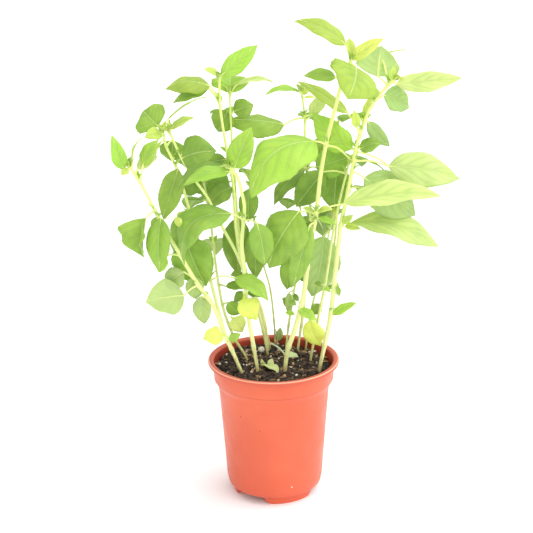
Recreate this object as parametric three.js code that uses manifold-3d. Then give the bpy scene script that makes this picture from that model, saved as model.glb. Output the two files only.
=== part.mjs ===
// A potted basil plant: a thin-walled plastic pot on three feet, filled with soil,
// with fourteen leafy stems, some yellowed leaves and the litter on the soil.
// Millimetres. The origin is the middle of the pot's base, +Z is up, and +Y is the back.
import * as THREE from "three";
import { mergeVertices } from "three/addons/utils/BufferGeometryUtils.js";
import Module from "manifold-3d";

const wasm = await Module();
wasm.setup();

// ---- Driving dimensions ----
const POT_HEIGHT = 140;
const RIM_RADIUS = 65;
const RIM_WIDTH = 4;
const RIM_DEPTH = 3.6;
const RIM_ROUND = 0.8;
const COLLAR_RADIUS = 60;
const COLLAR_DEPTH = 20;
const BODY_TOP_RADIUS = 55;
const BODY_TOP_DEPTH = 27;
const BODY_LOW_RADIUS = 48.2;
const BODY_LOW_HEIGHT = 18;
const FOOT_RADIUS = 41.5;
const FOOT_HEIGHT = 7.5;
const POT_WALL = 1.4;
const POT_SEGMENTS = 36;

const NOTCH_COUNT = 3;
const NOTCH_FIRST_ANGLE = -126;
const NOTCH_HALF_ANGLE_LOW = 27;
const NOTCH_HALF_ANGLE_HIGH = 20;
const NOTCH_INNER_RADIUS = 20;
const NOTCH_STEPS = 6;
const DRAIN_RADIUS = 4;
const DRAIN_PLACE_RADIUS = 31;
const DRAIN_SIDES = 10;

const SOIL_HEIGHT = 131;
const SOIL_GAP = 0.5;
const SOIL_SEGMENTS = 25;
const SOIL_SLOPE = 0.02;
const SOIL_RELIEF = 0.8;
const SOIL_LUMP_WAVE = 0.23;
const HOLE_CLEARANCE = 0.4;

const BLADE_THICKNESS = 0.7;
const STALK_HALF_LARGE = 0.9;
const STALK_HALF_SMALL = 0.6;
const LARGE_BLADE = 17;
const LONG_BLADE = 39;
const STEM_SIDES = 4;
const STEM_TIP_SHARE = 0.55;

// ---- Materials ----
const TERRACOTTA_PLASTIC = { color: 0xe97450, roughness: 0.55, metalness: 0 };
const DARK_SOIL = { color: 0x3c2a1b, roughness: 0.95, metalness: 0 };
const GREEN_LEAF = { color: 0x8cbe46, roughness: 0.5, metalness: 0 };
const YELLOW_LEAF = { color: 0xeff278, roughness: 0.55, metalness: 0 };
const DRY_LEAF = { color: 0x9a7b4a, roughness: 0.85, metalness: 0 };

// ---- The plants ----
// leaf(height on the stem, run of the stalk, run of the blade, width, way the upper face looks,
//      rise of the midrib above a straight line, lift of the halves in degrees, twist in degrees)
function leaf(at, stalk, blade, width, face, bow, fold, twist = 0) {
  return { at, stalk, blade, width, face, bow, fold, twist };
}

// shoot(thickness at its foot, points of its centre line, leaves)
function shoot(thick, path, leaves) {
  return { thick, path, leaves };
}

const PLANTS = {
  "plant_left_forked": [
    shoot(4.4, [[-30, -21, 108], [-31, -22, 132], [-35, -22, 143], [-48, -23, 177],
      [-58, -25, 205], [-71, -27, 226], [-87, -28, 256], [-104, -29, 289], [-110, -29, 302],
      [-122, -28, 327], [-130, -28, 341]], [
      leaf(340, [-7, -1, 0], [-9, -4, 33], 15, [0.2, -1, 0.1], 3, 15),
      leaf(340, [-3, -2, 1], [-6, -5, -5], 8, [-0.3, -1, 0.4], 1, 5),
      leaf(340, [1, 1, 6], [12, 3, 25], 9, [-0.9, 0.1, 0.4], 4, 20),
      leaf(327, [3, 2, 16], [14, 6, 23], 16, [-0.5, -0.8, 0.3], 2, 10),
      leaf(335, [2, 4, 4], [19, 8, 11], 14, [0, -0.6, 0.8], 2, 10),
      leaf(300, [-9, -3, -6], [-4, -5, -37], 54, [-0.75, -0.65, 0], 1, 45),
      leaf(298, [1, 6, -5], [-3, 4, -16], 12, [0, -1, 0.2], 2, 10),
      leaf(292, [2, -7, 3], [-3, -4, -52], 24, [-0.2, -1, 0.1], 3, 12),
      leaf(226, [-14, 2, -11], [-37, 3, -7], 38, [0, 1, 0.1], 3, 6),
      leaf(228, [-13, 7, 9], [-19, 6, -16], 22, [0, -0.9, 0.4], 2, 8),
      leaf(224, [-6, 7, 8], [2, 2, -24], 18, [0.1, -0.9, 0.4], 3, 6),
      leaf(210, [-8, 3, 3], [3, -2, -28], 18, [0, -1, 0.2], 3, 8),
      leaf(256, [-14, 2, -1], [-8, 1, -17], 13, [-0.2, -0.9, 0.4], 2, 10),
      leaf(168, [2, -4, 1], [11, -3, 8], 9, [0, -1, 0.4], 1, 10),
    ]),
    shoot(3.6, [[-48, -23, 177], [-53, -14, 195], [-60, -2, 220], [-74, 11, 266], [-92, 14, 333],
      [-101, 13, 356], [-102, 12, 365]], [
      leaf(364, [-5, 3, 7], [-16, 18, 12], 36, [-0.4, -0.7, 0.55], 2, 10),
      leaf(364, [-1, -2, 1], [-16, -8, -2], 15, [0.1, -0.7, 0.7], 2, 12),
      leaf(358, [-2, -3, 0], [-7, -5, -15], 9, [-0.9, 0.3, 0.3], 2, 10),
      leaf(352, [5, 8, 4], [-2, 4, -22], 25, [0, -1, 0.3], 2, 6),
      leaf(331, [3, -11, 1], [-16, -7, -48], 24, [-0.3, -1, 0.1], 4, 12),
      leaf(286, [-6, -8, 4], [-4, -4, -9], 8, [0, -1, 0.4], 1, 10),
      leaf(283, [-10, 6, 0], [-6, 4, -46], 20, [-0.2, -0.9, 0.3], 3, 8),
      leaf(338, [1, 8, 1], [8, 34, -16], 28, [0.2, 0.4, 0.9], 4, 8),
      leaf(222, [24, -26, 11], [33, -8, -20], 22, [0.3, -0.5, 0.8], 5, 10),
    ]),
  ],
  "plant_left_back": [
    shoot(3.4, [[-25, 10, 108], [-26, 11, 132], [-39, 14, 156], [-50, 17, 189], [-54, 20, 214],
      [-62, 27, 289], [-66, 28, 314]], [
      leaf(313, [-3, 2, 1], [-24, -4, -10], 24, [0, -0.8, 0.6], 3, 8),
      leaf(313, [4, 3, 1], [22, 1, -12], 24, [0, -0.8, 0.6], 3, 8),
      leaf(210, [7, 4, -3], [19, 4, -3], 12, [0, -0.5, 0.85], 2, 10),
      leaf(190, [5, 3, 1], [12, 4, -14], 15, [0, -0.9, 0.4], 2, 8),
      leaf(292, [-4, 8, 1], [-18, 34, -18], 32, [-0.2, 0.5, 0.9], 5, 8),
      leaf(250, [-1, 13, 1], [2, 34, -24], 26, [0, 0.6, 0.8], 5, 8),
    ]),
  ],
  "plant_front_thick": [
    shoot(5, [[-16, -14, 108], [-16, -15, 132], [-19, -16, 155], [-26, -18, 207],
      [-27, -20, 236], [-29, -22, 266], [-27, -24, 288], [-26, -26, 304], [-28, -28, 316],
      [-32, -31, 332], [-38, -33, 341]], [
      leaf(340, [3, -1, 1], [16, -4, 39], 24, [-0.1, -1, 0.2], 3, 14),
      leaf(339, [-2, -2, -1], [-43, -10, -9], 17, [0.1, -0.55, 0.8], 6, 10),
      leaf(339, [-6, 4, 2], [-46, 4, -22], 15, [-0.3, -0.35, 0.9], 12, 14),
      leaf(288, [-11, -6, 9], [-47, -9, -45], 50, [-0.65, -0.42, 0.65], 23, 8),
      leaf(288, [13, -19, 3], [7, 3, -43], 24, [0.1, -0.95, 0.3], 3, 4),
      leaf(214, [1, 6, -2], [16, 2, -4], 12, [0, -0.3, 0.95], 2, 6),
    ]),
  ],
  "plant_leaning_left": [
    shoot(3.4, [[-5, 29, 108], [-6, 28, 132], [-16, 24, 184], [-27, 20, 219], [-32, 18, 235],
      [-51, 10, 278], [-61, 8, 301], [-77, 4, 327], [-86, 0, 346], [-91, -3, 359], [-95, -5, 369]], [
      leaf(368, [-2, 2, 13], [40, 6, 22], 14, [-0.45, 0.18, 0.87], 3, 8),
      leaf(368, [1, -2, 5], [22, -4, 12], 12, [-0.3, -0.5, 0.8], 2, 12),
      leaf(344, [1, -4, 0], [32, -8, 9], 36, [-0.35, -0.85, 0.4], 3, 10),
      leaf(279, [-32, -14, -13], [19, -8, -47], 42, [-0.1, -1, 0.15], 3, 12),
    ]),
  ],
  "plant_centre_left": [
    shoot(3.6, [[-4, 36, 108], [-5, 35, 132], [-12, 32, 180], [-28, 27, 220],
      [-35, 23, 264], [-38, 19, 320], [-43, 17, 350], [-48, 14, 393], [-48, 13, 414]], [
      leaf(413, [2, -2, 6], [34, 3, 28], 20, [-0.2, -0.9, 0.35], 2, 8),
      leaf(413, [-1, -1, 7], [-13, -2, 6], 9, [0.2, -0.6, 0.8], 1, 12),
      leaf(393, [-9, 4, 15], [-43, 4, -2], 24, [0, -0.6, 0.8], 8, -18),
      leaf(390, [-11, 9, 15], [-35, 2, -13], 18, [0, -0.5, 0.85], 3, 8),
      leaf(342, [-2, 9, -7], [-35, 2, -12], 26, [-0.1, -0.5, 0.85], 4, 8),
      leaf(300, [-2, 1, 9], [-23, -3, -18], 22, [-0.3, -0.8, 0.5], 4, 8),
    ]),
  ],
  "plant_centre_right": [
    shoot(3, [[-2, 44, 108], [-3, 43, 132], [-15, 39, 177], [-31, 34, 241], [-34, 32, 277],
      [-36, 31, 317], [-38, 30, 356], [-39, 28, 399]], [
      leaf(398, [0, 1, 1], [1, 22, 14], 37, [0, -0.5, 0.87], 2, 15),
      leaf(397, [7, -2, 11], [36, 2, 2], 11, [-0.2, -0.3, 0.93], 5, 10),
      leaf(381, [-3, 5, 0], [-10, 6, -22], 24, [0, -0.9, 0.4], 2, 6),
      leaf(378, [3, 6, 2], [19, 4, 6], 20, [0, -0.9, 0.4], 2, 6),
      leaf(272, [0, 6, 2], [-1, 4, -62], 28, [0, -1, 0.2], 3, 6),
      leaf(377, [-2, 8, 2], [-10, 32, -10], 28, [-0.2, 0.3, 1], 4, 8),
      leaf(330, [0, 9, 1], [-9, 36, -20], 30, [-0.1, 0.5, 0.9], 5, 8),
      leaf(312, [-9, 17, -7], [-37, 4, -7], 30, [-0.1, -0.5, 0.85], 4, 8),
    ]),
  ],
  "plant_back_thin": [
    shoot(2.6, [[2, 50, 110], [2, 52, 120], [2, 55, 132], [0, 55, 172], [-3, 54, 196], [-9, 51, 220],
      [-18, 46, 270], [-20, 45, 294], [-22, 44, 312]], [
      leaf(300, [-1, -3, 2], [-2, -3, -34], 20, [0, -0.95, 0.3], 3, 8),
      leaf(268, [1, -15, -3], [0, -3, -53], 22, [0, -1, 0.3], 3, 8),
      leaf(311, [2, 6, 2], [8, 38, -14], 32, [0.2, 0.4, 1], 5, 8),
      leaf(246, [-3, 7, 1], [-16, 34, -22], 32, [-0.2, 0.6, 0.8], 5, 8),
      leaf(136, [4, -1, 1], [2, 1, 14], 8, [0, -1, 0.1], 1, 5),
    ]),
  ],
  "plant_middle_short": [
    shoot(3.2, [[12, 40, 108], [13, 40, 132], [18, 42, 174], [25, 42, 217], [29, 42, 254],
      [28, 41, 285]], [
      leaf(236, [-7, -8, -2], [-6, -4, -34], 20, [0, -1, 0.3], 3, 8),
      leaf(178, [0, -1, 1], [-9, -2, 10], 10, [0, -0.9, 0.4], 1, 10),
      leaf(283, [-4, 7, 2], [-8, 36, -14], 30, [0, 0.4, 0.9], 5, 8),
    ]),
  ],
  "plant_back_tall": [
    shoot(3.2, [[24, 36, 108], [25, 37, 132], [30, 40, 168], [36, 46, 237], [38, 49, 285],
      [35, 50, 317], [33, 51, 357], [33, 51, 370], [30, 51, 395]], [
      leaf(394, [-2, -1, 2], [-34, -6, -1], 12, [0.1, -0.3, 0.95], 5, 10),
      leaf(394, [1, -1, -1], [8, -2, 10], 6, [0, -0.9, 0.4], 1, 15),
      leaf(390, [2, 0, 0], [11, -2, 0], 6, [0, -0.3, 0.95], 1, 10),
      leaf(370, [-20, -6, -5], [-56, -6, 7], 34, [0, -0.5, 0.85], 2, -20),
      leaf(371, [5, -2, 2], [19, -4, 21], 15, [-0.5, -0.8, 0.3], 2, 12),
      leaf(318, [8, -18, 7], [34, -6, 12], 30, [-0.2, -0.95, 0.25], 3, 8),
      leaf(324, [-2, -5, -3], [-32, -8, -34], 26, [-0.5, -0.4, 0.7], 4, 8),
      leaf(262, [-3, 5, 2], [-8, 3, -30], 22, [0, -1, 0.3], 3, 8),
      leaf(366, [4, 7, 2], [12, 36, -12], 30, [0.2, 0.3, 1], 4, 8),
      leaf(317, [-4, 8, 2], [-22, 40, -22], 36, [-0.2, 0.5, 0.9], 5, 8),
      leaf(268, [5, 8, 1], [12, 34, -30], 34, [0.2, 0.7, 0.7], 4, 8),
    ]),
  ],
  "plant_tallest": [
    shoot(5, [[10, -15, 108], [11, -16, 132], [14, -17, 155], [20, -18, 174], [29, -19, 210],
      [34, -20, 250], [38, -21, 275], [41, -22, 293], [46, -24, 337], [50, -25, 360],
      [59, -27, 397], [63, -28, 414], [72, -30, 438]], [
      leaf(437, [-4, 1, 15], [-46, 3, 23], 21, [0.3, -0.65, 0.7], 7, 8),
      leaf(437, [1, -1, 2], [28, -4, 20], 14, [-0.3, -0.8, 0.5], 2, 14),
      leaf(437, [2, 4, 8], [-3, 6, 12], 9, [0, -1, 0], 1, 10),
      leaf(436, [5, -4, -3], [-8, -28, -23], 54, [0.55, -0.6, 0.6], 4, 8),
      leaf(424, [-8, 4, -2], [-29, 4, 2], 15, [0.1, -0.7, 0.7], 2, 10),
      leaf(360, [-10, -6, 5], [-61, -20, -46], 60, [-0.45, -0.55, 0.7], 21, -10),
      leaf(360, [24, 30, -20], [36, 6, -14], 14, [0.3, 0.2, 0.9], 3, 10),
      leaf(293, [27, -7, 12], [88, -8, 11], 34, [-0.1, -0.5, 0.85], 5, 22),
      leaf(293, [-16, -4, 4], [-30, -4, -54], 48, [-0.45, -0.8, 0.35], 8, -5),
      leaf(284, [-5, -12, 1], [-17, -4, -61], 22, [0.3, -0.9, 0.3], 5, 8),
      leaf(294, [-2, -3, 2], [-11, -2, 5], 6, [0, -0.6, 0.8], 1, 15),
      leaf(294, [2, -2, 2], [13, -3, 3], 8, [0, -0.6, 0.8], 2, 15),
      leaf(292, [2, -4, -2], [17, -4, -5], 8, [0, -0.6, 0.8], 2, 15),
      leaf(196, [-1, -3, 2], [17, -7, -9], 11, [0.1, -0.7, 0.7], 2, 10),
    ]),
  ],
  "plant_right_middle": [
    shoot(3.4, [[36, 8, 108], [37, 9, 132], [44, 11, 172], [51, 13, 209],
      [63, 16, 285], [74, 18, 331]], [
      leaf(322, [-22, 4, 1], [-27, 4, -36], 28, [0, -0.9, 0.4], 3, 8),
      leaf(190, [-2, 2, 1], [-6, 4, -13], 12, [0, -0.9, 0.4], 1, 8),
    ]),
  ],
  "plant_right_short": [
    shoot(2.8, [[31, 36, 110], [33, 39, 132], [39, 42, 174], [49, 40, 218], [55, 38, 250],
      [60, 36, 273]], [
      leaf(260, [-6, -1, -6], [-12, -6, -62], 40, [0.1, -1, 0.1], 4, 8),
    ]),
  ],
  "plant_right_back": [
    shoot(3, [[37, 34, 110], [40, 38, 132], [47, 42, 172], [60, 46, 224], [65, 49, 273],
      [66, 50, 318], [63, 50, 358]], [
      leaf(345, [-4, -4, 0], [-21, -6, -15], 28, [0, -0.9, 0.4], 2, 6),
      leaf(318, [-1, -5, 4], [-3, -4, -44], 33, [0, -1, 0.2], 3, 8),
      leaf(325, [5, 6, 2], [22, 34, -14], 32, [0.3, 0.4, 1], 5, 8),
      leaf(273, [-3, 9, 1], [-10, 36, -26], 34, [-0.1, 0.6, 0.8], 5, 8),
    ]),
  ],
  "plant_right_thick": [
    shoot(4.6, [[44, -13, 108], [45, -14, 132], [50, -13, 158], [56, -12, 190], [59, -11, 221],
      [63, -10, 259], [65, -9, 278], [70, -8, 302], [76, -7, 333], [79, -6, 351], [84, -5, 369],
      [93, -4, 391], [107, -3, 409], [113, -3, 415]], [
      leaf(414, [4, -1, -2], [60, -4, 7], 22, [-0.1, -0.75, 0.65], 0, 8),
      leaf(414, [-1, -1, 2], [2, -2, 13], 8, [0.3, -0.9, 0.2], 1, 20),
      leaf(410, [-9, 4, 8], [4, 14, 26], 42, [0, 0.9, 0.4], 2, 10),
      leaf(411, [-6, 22, 25], [30, 2, 4], 8, [0, 0.2, 1], 1, 10),
      leaf(392, [11, 3, 9], [25, 5, -13], 28, [0.2, -0.8, 0.55], 2, 16),
      leaf(378, [-3, 4, 2], [12, 4, 25], 9, [-0.8, -0.5, 0.2], 1, 8),
      leaf(377, [3, 5, -1], [22, 6, -26], 14, [-0.3, -0.9, 0.3], 2, 8),
      leaf(366, [-12, -4, 20], [-46, 4, 31], 16, [0.4, -0.6, 0.7], 2, 8),
      leaf(364, [-3, -2, 8], [-3, -2, 17], 9, [0, -1, 0.2], 1, 18),
      leaf(352, [3, -2, 0], [20, -5, 7], 15, [-0.2, -0.8, 0.5], 2, 10),
      leaf(351, [-3, 6, -1], [-38, 12, 32], 33, [-0.4, -0.8, -0.3], 3, 8),
      leaf(340, [33, 3, -6], [68, 4, -13], 35, [0, -0.8, 0.6], 4, 8),
      leaf(349.5, [42, 20, -27], [61, 2, -5], 26, [0.1, -0.75, 0.65], 3, 8),
      leaf(330, [12, 3, -7], [52, 10, -40], 44, [0.2, -0.85, 0.45], 4, 8),
      leaf(279, [2, -3, 2], [9, -4, 9], 8, [0, -0.9, 0.4], 1, 15),
      leaf(278, [4, -3, 0], [15, -3, -2], 9, [0, -0.6, 0.8], 2, 12),
      leaf(278, [10, 2, 2], [86, 2, -24], 36, [0, -0.15, 1], 9, 10, 42),
      leaf(222, [2, 1, 0], [1, 2, -15], 6, [0.3, -0.9, 0.2], 1, 8),
      leaf(190, [1, -2, 0], [23, -5, 14], 12, [-0.3, -0.5, 0.8], 1, 12),
      leaf(376, [-3, 8, 2], [-16, 32, -8], 28, [-0.2, 0.3, 1], 4, 8),
      leaf(312, [11, 9, 1], [19, 34, -24], 27, [0.2, 0.6, 0.8], 5, 8),
    ]),
  ],
};

// Leaves that have turned, and what has dropped on the soil. Each starts at a point beside
// the stem that it grew on, and leaf() gives the rest as on the plants, with no height.
const TURNED_LEAVES = {
  "leaf_yellow_front": [[-27, -22, 214],
    leaf(0, [-1, -2.5, -2], [10, -2.5, -23], 22, [-0.2, -0.95, 0.3], 2, 8)],
  "leaf_yellow_left": [[-46.5, -28.5, 177],
    leaf(0, [-1.5, -1, 1], [-21, -2, -5], 17, [0, -0.95, 0.3], 2, 8)],
  "leaf_yellow_back": [[-43, 14.6, 179],
    leaf(0, [2, -1, 0], [11, 0, -17], 17, [0, -0.9, 0.4], 2, 8)],
  "leaf_yellow_right": [[42.2, 9, 176.5],
    leaf(0, [-6, -4, 0], [9.5, -5, -25], 22, [-0.2, -0.95, 0.3], 2, 8)],
};

const DROPPED_LEAVES = {
  "leaf_fallen": [[-2, 46, 137],
    leaf(0, [13, -19, -3.4], [14, -10, -0.4], 13, [0, 0, 1], 1, 3)],
  "leaf_withered": [[-12, -4, 134],
    leaf(0, [1, -2, 0], [14, -8, -0.6], 11, [0, 0, 1], 2, 14)],
};

// The dry stub of a stem that has died back: thickness at the soil, and its centre line.
const DRY_STUB = shoot(2, [[4, 49, 110], [4, 49.5, 132], [3, 50, 151]], []);

// ---- Solids ----
function vec(point) {
  return new THREE.Vector3(...point);
}

// A closed skin over rings that all have the same number of points, with a flat end on each.
function loft(rings) {
  const sides = rings[0].length;
  const positions = rings.flat().flatMap((p) => [p.x, p.y, p.z]);
  const index = [];
  for (let r = 0; r + 1 < rings.length; r += 1) {
    for (let i = 0; i < sides; i += 1) {
      const a = r * sides + i;
      const b = r * sides + ((i + 1) % sides);
      index.push(a, b, b + sides, a, b + sides, a + sides);
    }
  }
  const last = (rings.length - 1) * sides;
  for (let i = 1; i + 1 < sides; i += 1) {
    index.push(0, i + 1, i, last, last + i, last + i + 1);
  }
  const geometry = new THREE.BufferGeometry();
  geometry.setAttribute("position", new THREE.Float32BufferAttribute(positions, 3));
  geometry.setIndex(index);
  return geometry;
}

// A solid from a closed geometry; triangles that have shrunk to a line at a pole are dropped.
function toSolid(geometry) {
  const bare = geometry.clone();
  bare.deleteAttribute("normal");
  bare.deleteAttribute("uv");
  const merged = mergeVertices(bare, 1e-4);
  const corners = Array.from(merged.index.array);
  const whole = corners.filter((_, i) => {
    const first = i - (i % 3);
    const [a, b, c] = corners.slice(first, first + 3);
    return a !== b && b !== c && c !== a;
  });
  return new wasm.Manifold(new wasm.Mesh({
    numProp: 3,
    vertProperties: new Float32Array(merged.attributes.position.array),
    triVerts: new Uint32Array(whole),
  }));
}

function toGeometry(solid) {
  const mesh = solid.getMesh();
  const geometry = new THREE.BufferGeometry();
  geometry.setAttribute("position", new THREE.BufferAttribute(mesh.vertProperties, 3));
  geometry.setIndex(new THREE.BufferAttribute(mesh.triVerts, 1));
  return geometry;
}

// A round tube along points, thick at the start and thinner at the end.
function tube(points, startRadius, endRadius) {
  const rings = points.map((point, i) => {
    const before = points[Math.max(i - 1, 0)];
    const after = points[Math.min(i + 1, points.length - 1)];
    const along = after.clone().sub(before).normalize();
    const side = new THREE.Vector3(0, 1, 0).cross(along).normalize();
    const front = along.clone().cross(side);
    const radius = startRadius + (endRadius - startRadius) * (i / (points.length - 1));
    return Array.from({ length: STEM_SIDES }, (_, k) => {
      const angle = (2 * Math.PI * k) / STEM_SIDES;
      return point.clone()
        .addScaledVector(side, radius * Math.cos(angle))
        .addScaledVector(front, radius * Math.sin(angle));
    });
  });
  return toSolid(loft(rings));
}

// ---- Leaves ----
// Half-width of a basil blade along its length, as a share of its widest half-width.
function bladeOutline(along) {
  return Math.sin(Math.PI * along ** 0.78) ** 0.9;
}

// Where along a blade its sections are, from its foot to its tip: more on a longer blade.
function bladeStations(length) {
  if (length > LONG_BLADE) return [0.12, 0.34, 0.6, 0.84];
  if (length > LARGE_BLADE) return [0.18, 0.48, 0.78];
  return [0.3, 0.68];
}

// One section of a leaf: left edge, midrib and right edge, above and then below.
function leafSection(middle, side, normal, half, lift, thickness) {
  const edge = (sign) => middle.clone()
    .addScaledVector(side, sign * half * Math.cos(lift))
    .addScaledVector(normal, half * Math.sin(lift));
  const line = [edge(-1), middle, edge(1)];
  const above = line.map((p) => p.clone().addScaledVector(normal, thickness / 2));
  const below = line.map((p) => p.clone().addScaledVector(normal, -thickness / 2));
  return [...above, ...below.reverse()];
}

// A stalk that runs into a blade with a bowed midrib and two lifted halves.
function leafSolid(root, row) {
  const stalkRun = vec(row.stalk);
  const bladeRun = vec(row.blade);
  const length = bladeRun.length();
  const base = root.clone().add(stalkRun);
  const along = bladeRun.clone().normalize();
  const face = vec(row.face);
  const normal = face.clone().addScaledVector(along, -face.dot(along)).normalize();
  const side = along.clone().cross(normal);
  const fold = THREE.MathUtils.degToRad(row.fold);
  const twist = THREE.MathUtils.degToRad(row.twist);
  const stalkHalf = length > LARGE_BLADE ? STALK_HALF_LARGE : STALK_HALF_SMALL;
  const stalkThickness = stalkHalf * 1.8;

  const stalkAlong = stalkRun.clone().normalize();
  const lean = Math.abs(side.dot(stalkAlong)) < 0.8 ? side : normal;
  const across = lean.clone().addScaledVector(stalkAlong, -lean.dot(stalkAlong)).normalize();
  const stalkSide = lean === side ? across : stalkAlong.clone().cross(across);
  const stalkNormal = stalkSide.clone().cross(stalkAlong);
  const halfway = root.clone().addScaledVector(stalkRun, 0.5);
  halfway.z += 0.08 * stalkRun.length();
  const sections = [leafSection(root, stalkSide, stalkNormal, stalkHalf, 0, stalkThickness)];
  if (stalkRun.length() > 8) {
    sections.push(leafSection(halfway, stalkSide, stalkNormal, stalkHalf, 0, stalkThickness));
  }
  const stations = [0, ...bladeStations(length), 1];
  for (const u of stations) {
    const turn = twist * u;
    const n = normal.clone().applyAxisAngle(along, turn);
    const s = side.clone().applyAxisAngle(along, turn);
    const middle = base.clone().addScaledVector(bladeRun, u)
      .addScaledVector(n, row.bow * 4 * u * (1 - u));
    const atFoot = u === 0;
    const half = atFoot ? stalkHalf : Math.max(0.5 * row.width * bladeOutline(u), 0.4);
    const lift = atFoot || u === 1 ? 0 : fold;
    sections.push(leafSection(middle, s, n, half, lift, atFoot ? stalkThickness : BLADE_THICKNESS));
  }
  return toSolid(loft(sections));
}

// ---- Plants ----
function pointAtHeight(points, height) {
  for (let i = 0; i + 1 < points.length; i += 1) {
    const [low, high] = [points[i], points[i + 1]];
    if (height <= high.z) return low.clone().lerp(high, (height - low.z) / (high.z - low.z));
  }
  return points[points.length - 1].clone();
}

function stemTube(shootRow, extra) {
  const radius = shootRow.thick / 2 + extra;
  return tube(shootRow.path.map(vec), radius, radius * STEM_TIP_SHARE);
}

function plantSolid(shoots) {
  let solid = null;
  for (const row of shoots) {
    const stem = stemTube(row, 0);
    solid = solid ? solid.add(stem) : stem;
    const points = row.path.map(vec);
    for (const leafRow of row.leaves) {
      solid = solid.add(leafSolid(pointAtHeight(points, leafRow.at), leafRow));
    }
  }
  return solid;
}

// ---- Pot ----
// A turned solid about +Z from rows of [radius, height].
function turned(profile, segments) {
  const geometry = new THREE.LatheGeometry(profile.map(([r, z]) => new THREE.Vector2(r, z)), segments);
  geometry.rotateX(Math.PI / 2);
  return geometry;
}

// The wall's outline below the rim, moved inwards by an inset.
function wallProfile(inset) {
  return [
    [FOOT_RADIUS - inset, FOOT_HEIGHT + 0.5 * inset],
    [FOOT_RADIUS + 4.6 - inset, FOOT_HEIGHT + 1.3 + 0.5 * inset],
    [FOOT_RADIUS + 5.9 - inset, FOOT_HEIGHT + 4.7 + 0.3 * inset],
    [BODY_LOW_RADIUS - inset, BODY_LOW_HEIGHT],
    [BODY_TOP_RADIUS - inset, POT_HEIGHT - BODY_TOP_DEPTH + 0.3 * inset],
    [COLLAR_RADIUS - 0.8 - inset, POT_HEIGHT - COLLAR_DEPTH + 0.3 * inset],
    [COLLAR_RADIUS - inset, POT_HEIGHT - RIM_DEPTH - 2],
  ];
}

// One notch between two feet: a wedge of a ring, wider at the floor, with every face
// moved outwards by grow.
function notch(index, grow) {
  const middle = NOTCH_FIRST_ANGLE + (360 / NOTCH_COUNT) * index;
  const spread = THREE.MathUtils.radToDeg(grow / NOTCH_INNER_RADIUS);
  const inner = NOTCH_INNER_RADIUS - grow;
  const outer = RIM_RADIUS;
  const low = -1;
  const high = FOOT_HEIGHT - 0.1 + grow;
  const rings = Array.from({ length: NOTCH_STEPS + 1 }, (_, k) => {
    const share = (2 * k) / NOTCH_STEPS - 1;
    const at = (halfAngle, radius, z) => {
      const angle = THREE.MathUtils.degToRad(middle + share * (halfAngle + spread));
      return vec([radius * Math.cos(angle), radius * Math.sin(angle), z]);
    };
    return [
      at(NOTCH_HALF_ANGLE_LOW, inner, low),
      at(NOTCH_HALF_ANGLE_HIGH, inner, high),
      at(NOTCH_HALF_ANGLE_HIGH, outer, high),
      at(NOTCH_HALF_ANGLE_LOW, outer, low),
    ];
  });
  return toSolid(loft(rings));
}

function withoutNotches(solid, grow) {
  let rest = solid;
  for (let k = 0; k < NOTCH_COUNT; k += 1) rest = rest.subtract(notch(k, grow));
  return rest;
}

function drain(index) {
  const angle = THREE.MathUtils.degToRad(NOTCH_FIRST_ANGLE + (360 / NOTCH_COUNT) * index);
  const hole = new THREE.CylinderGeometry(DRAIN_RADIUS, DRAIN_RADIUS, 2 * BODY_LOW_HEIGHT, DRAIN_SIDES);
  hole.rotateX(Math.PI / 2);
  hole.translate(DRAIN_PLACE_RADIUS * Math.cos(angle), DRAIN_PLACE_RADIUS * Math.sin(angle), 0);
  return toSolid(hole);
}

function potSolid() {
  const rimInner = RIM_RADIUS - RIM_WIDTH;
  const rimLow = POT_HEIGHT - RIM_DEPTH;
  const outside = toSolid(turned([
    [0, 0],
    [FOOT_RADIUS, 0],
    ...wallProfile(0),
    [COLLAR_RADIUS + RIM_ROUND, rimLow],
    [RIM_RADIUS - RIM_ROUND, rimLow],
    [RIM_RADIUS, rimLow + RIM_ROUND],
    [RIM_RADIUS, POT_HEIGHT - RIM_ROUND],
    [RIM_RADIUS - RIM_ROUND, POT_HEIGHT],
    [0, POT_HEIGHT],
  ], POT_SEGMENTS));
  const inside = toSolid(turned([
    [0, POT_WALL],
    [FOOT_RADIUS - POT_WALL, POT_WALL],
    ...wallProfile(POT_WALL),
    [rimInner, POT_HEIGHT - RIM_ROUND],
    [rimInner + RIM_ROUND, POT_HEIGHT + RIM_ROUND],
    [0, POT_HEIGHT + RIM_ROUND],
  ], POT_SEGMENTS));
  let pot = withoutNotches(outside.subtract(withoutNotches(inside, POT_WALL)), 0);
  for (let k = 0; k < NOTCH_COUNT; k += 1) pot = pot.subtract(drain(k));
  return pot;
}

// ---- Soil ----
// Height of the soil's surface: a slight tilt with lumps.
function soilHeight(x, y) {
  const lumps = Math.sin(SOIL_LUMP_WAVE * x + 1) * Math.cos(SOIL_LUMP_WAVE * y) +
    0.5 * Math.sin(2 * SOIL_LUMP_WAVE * (x - y));
  return SOIL_HEIGHT - SOIL_SLOPE * (x - y) + SOIL_RELIEF * lumps;
}

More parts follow.
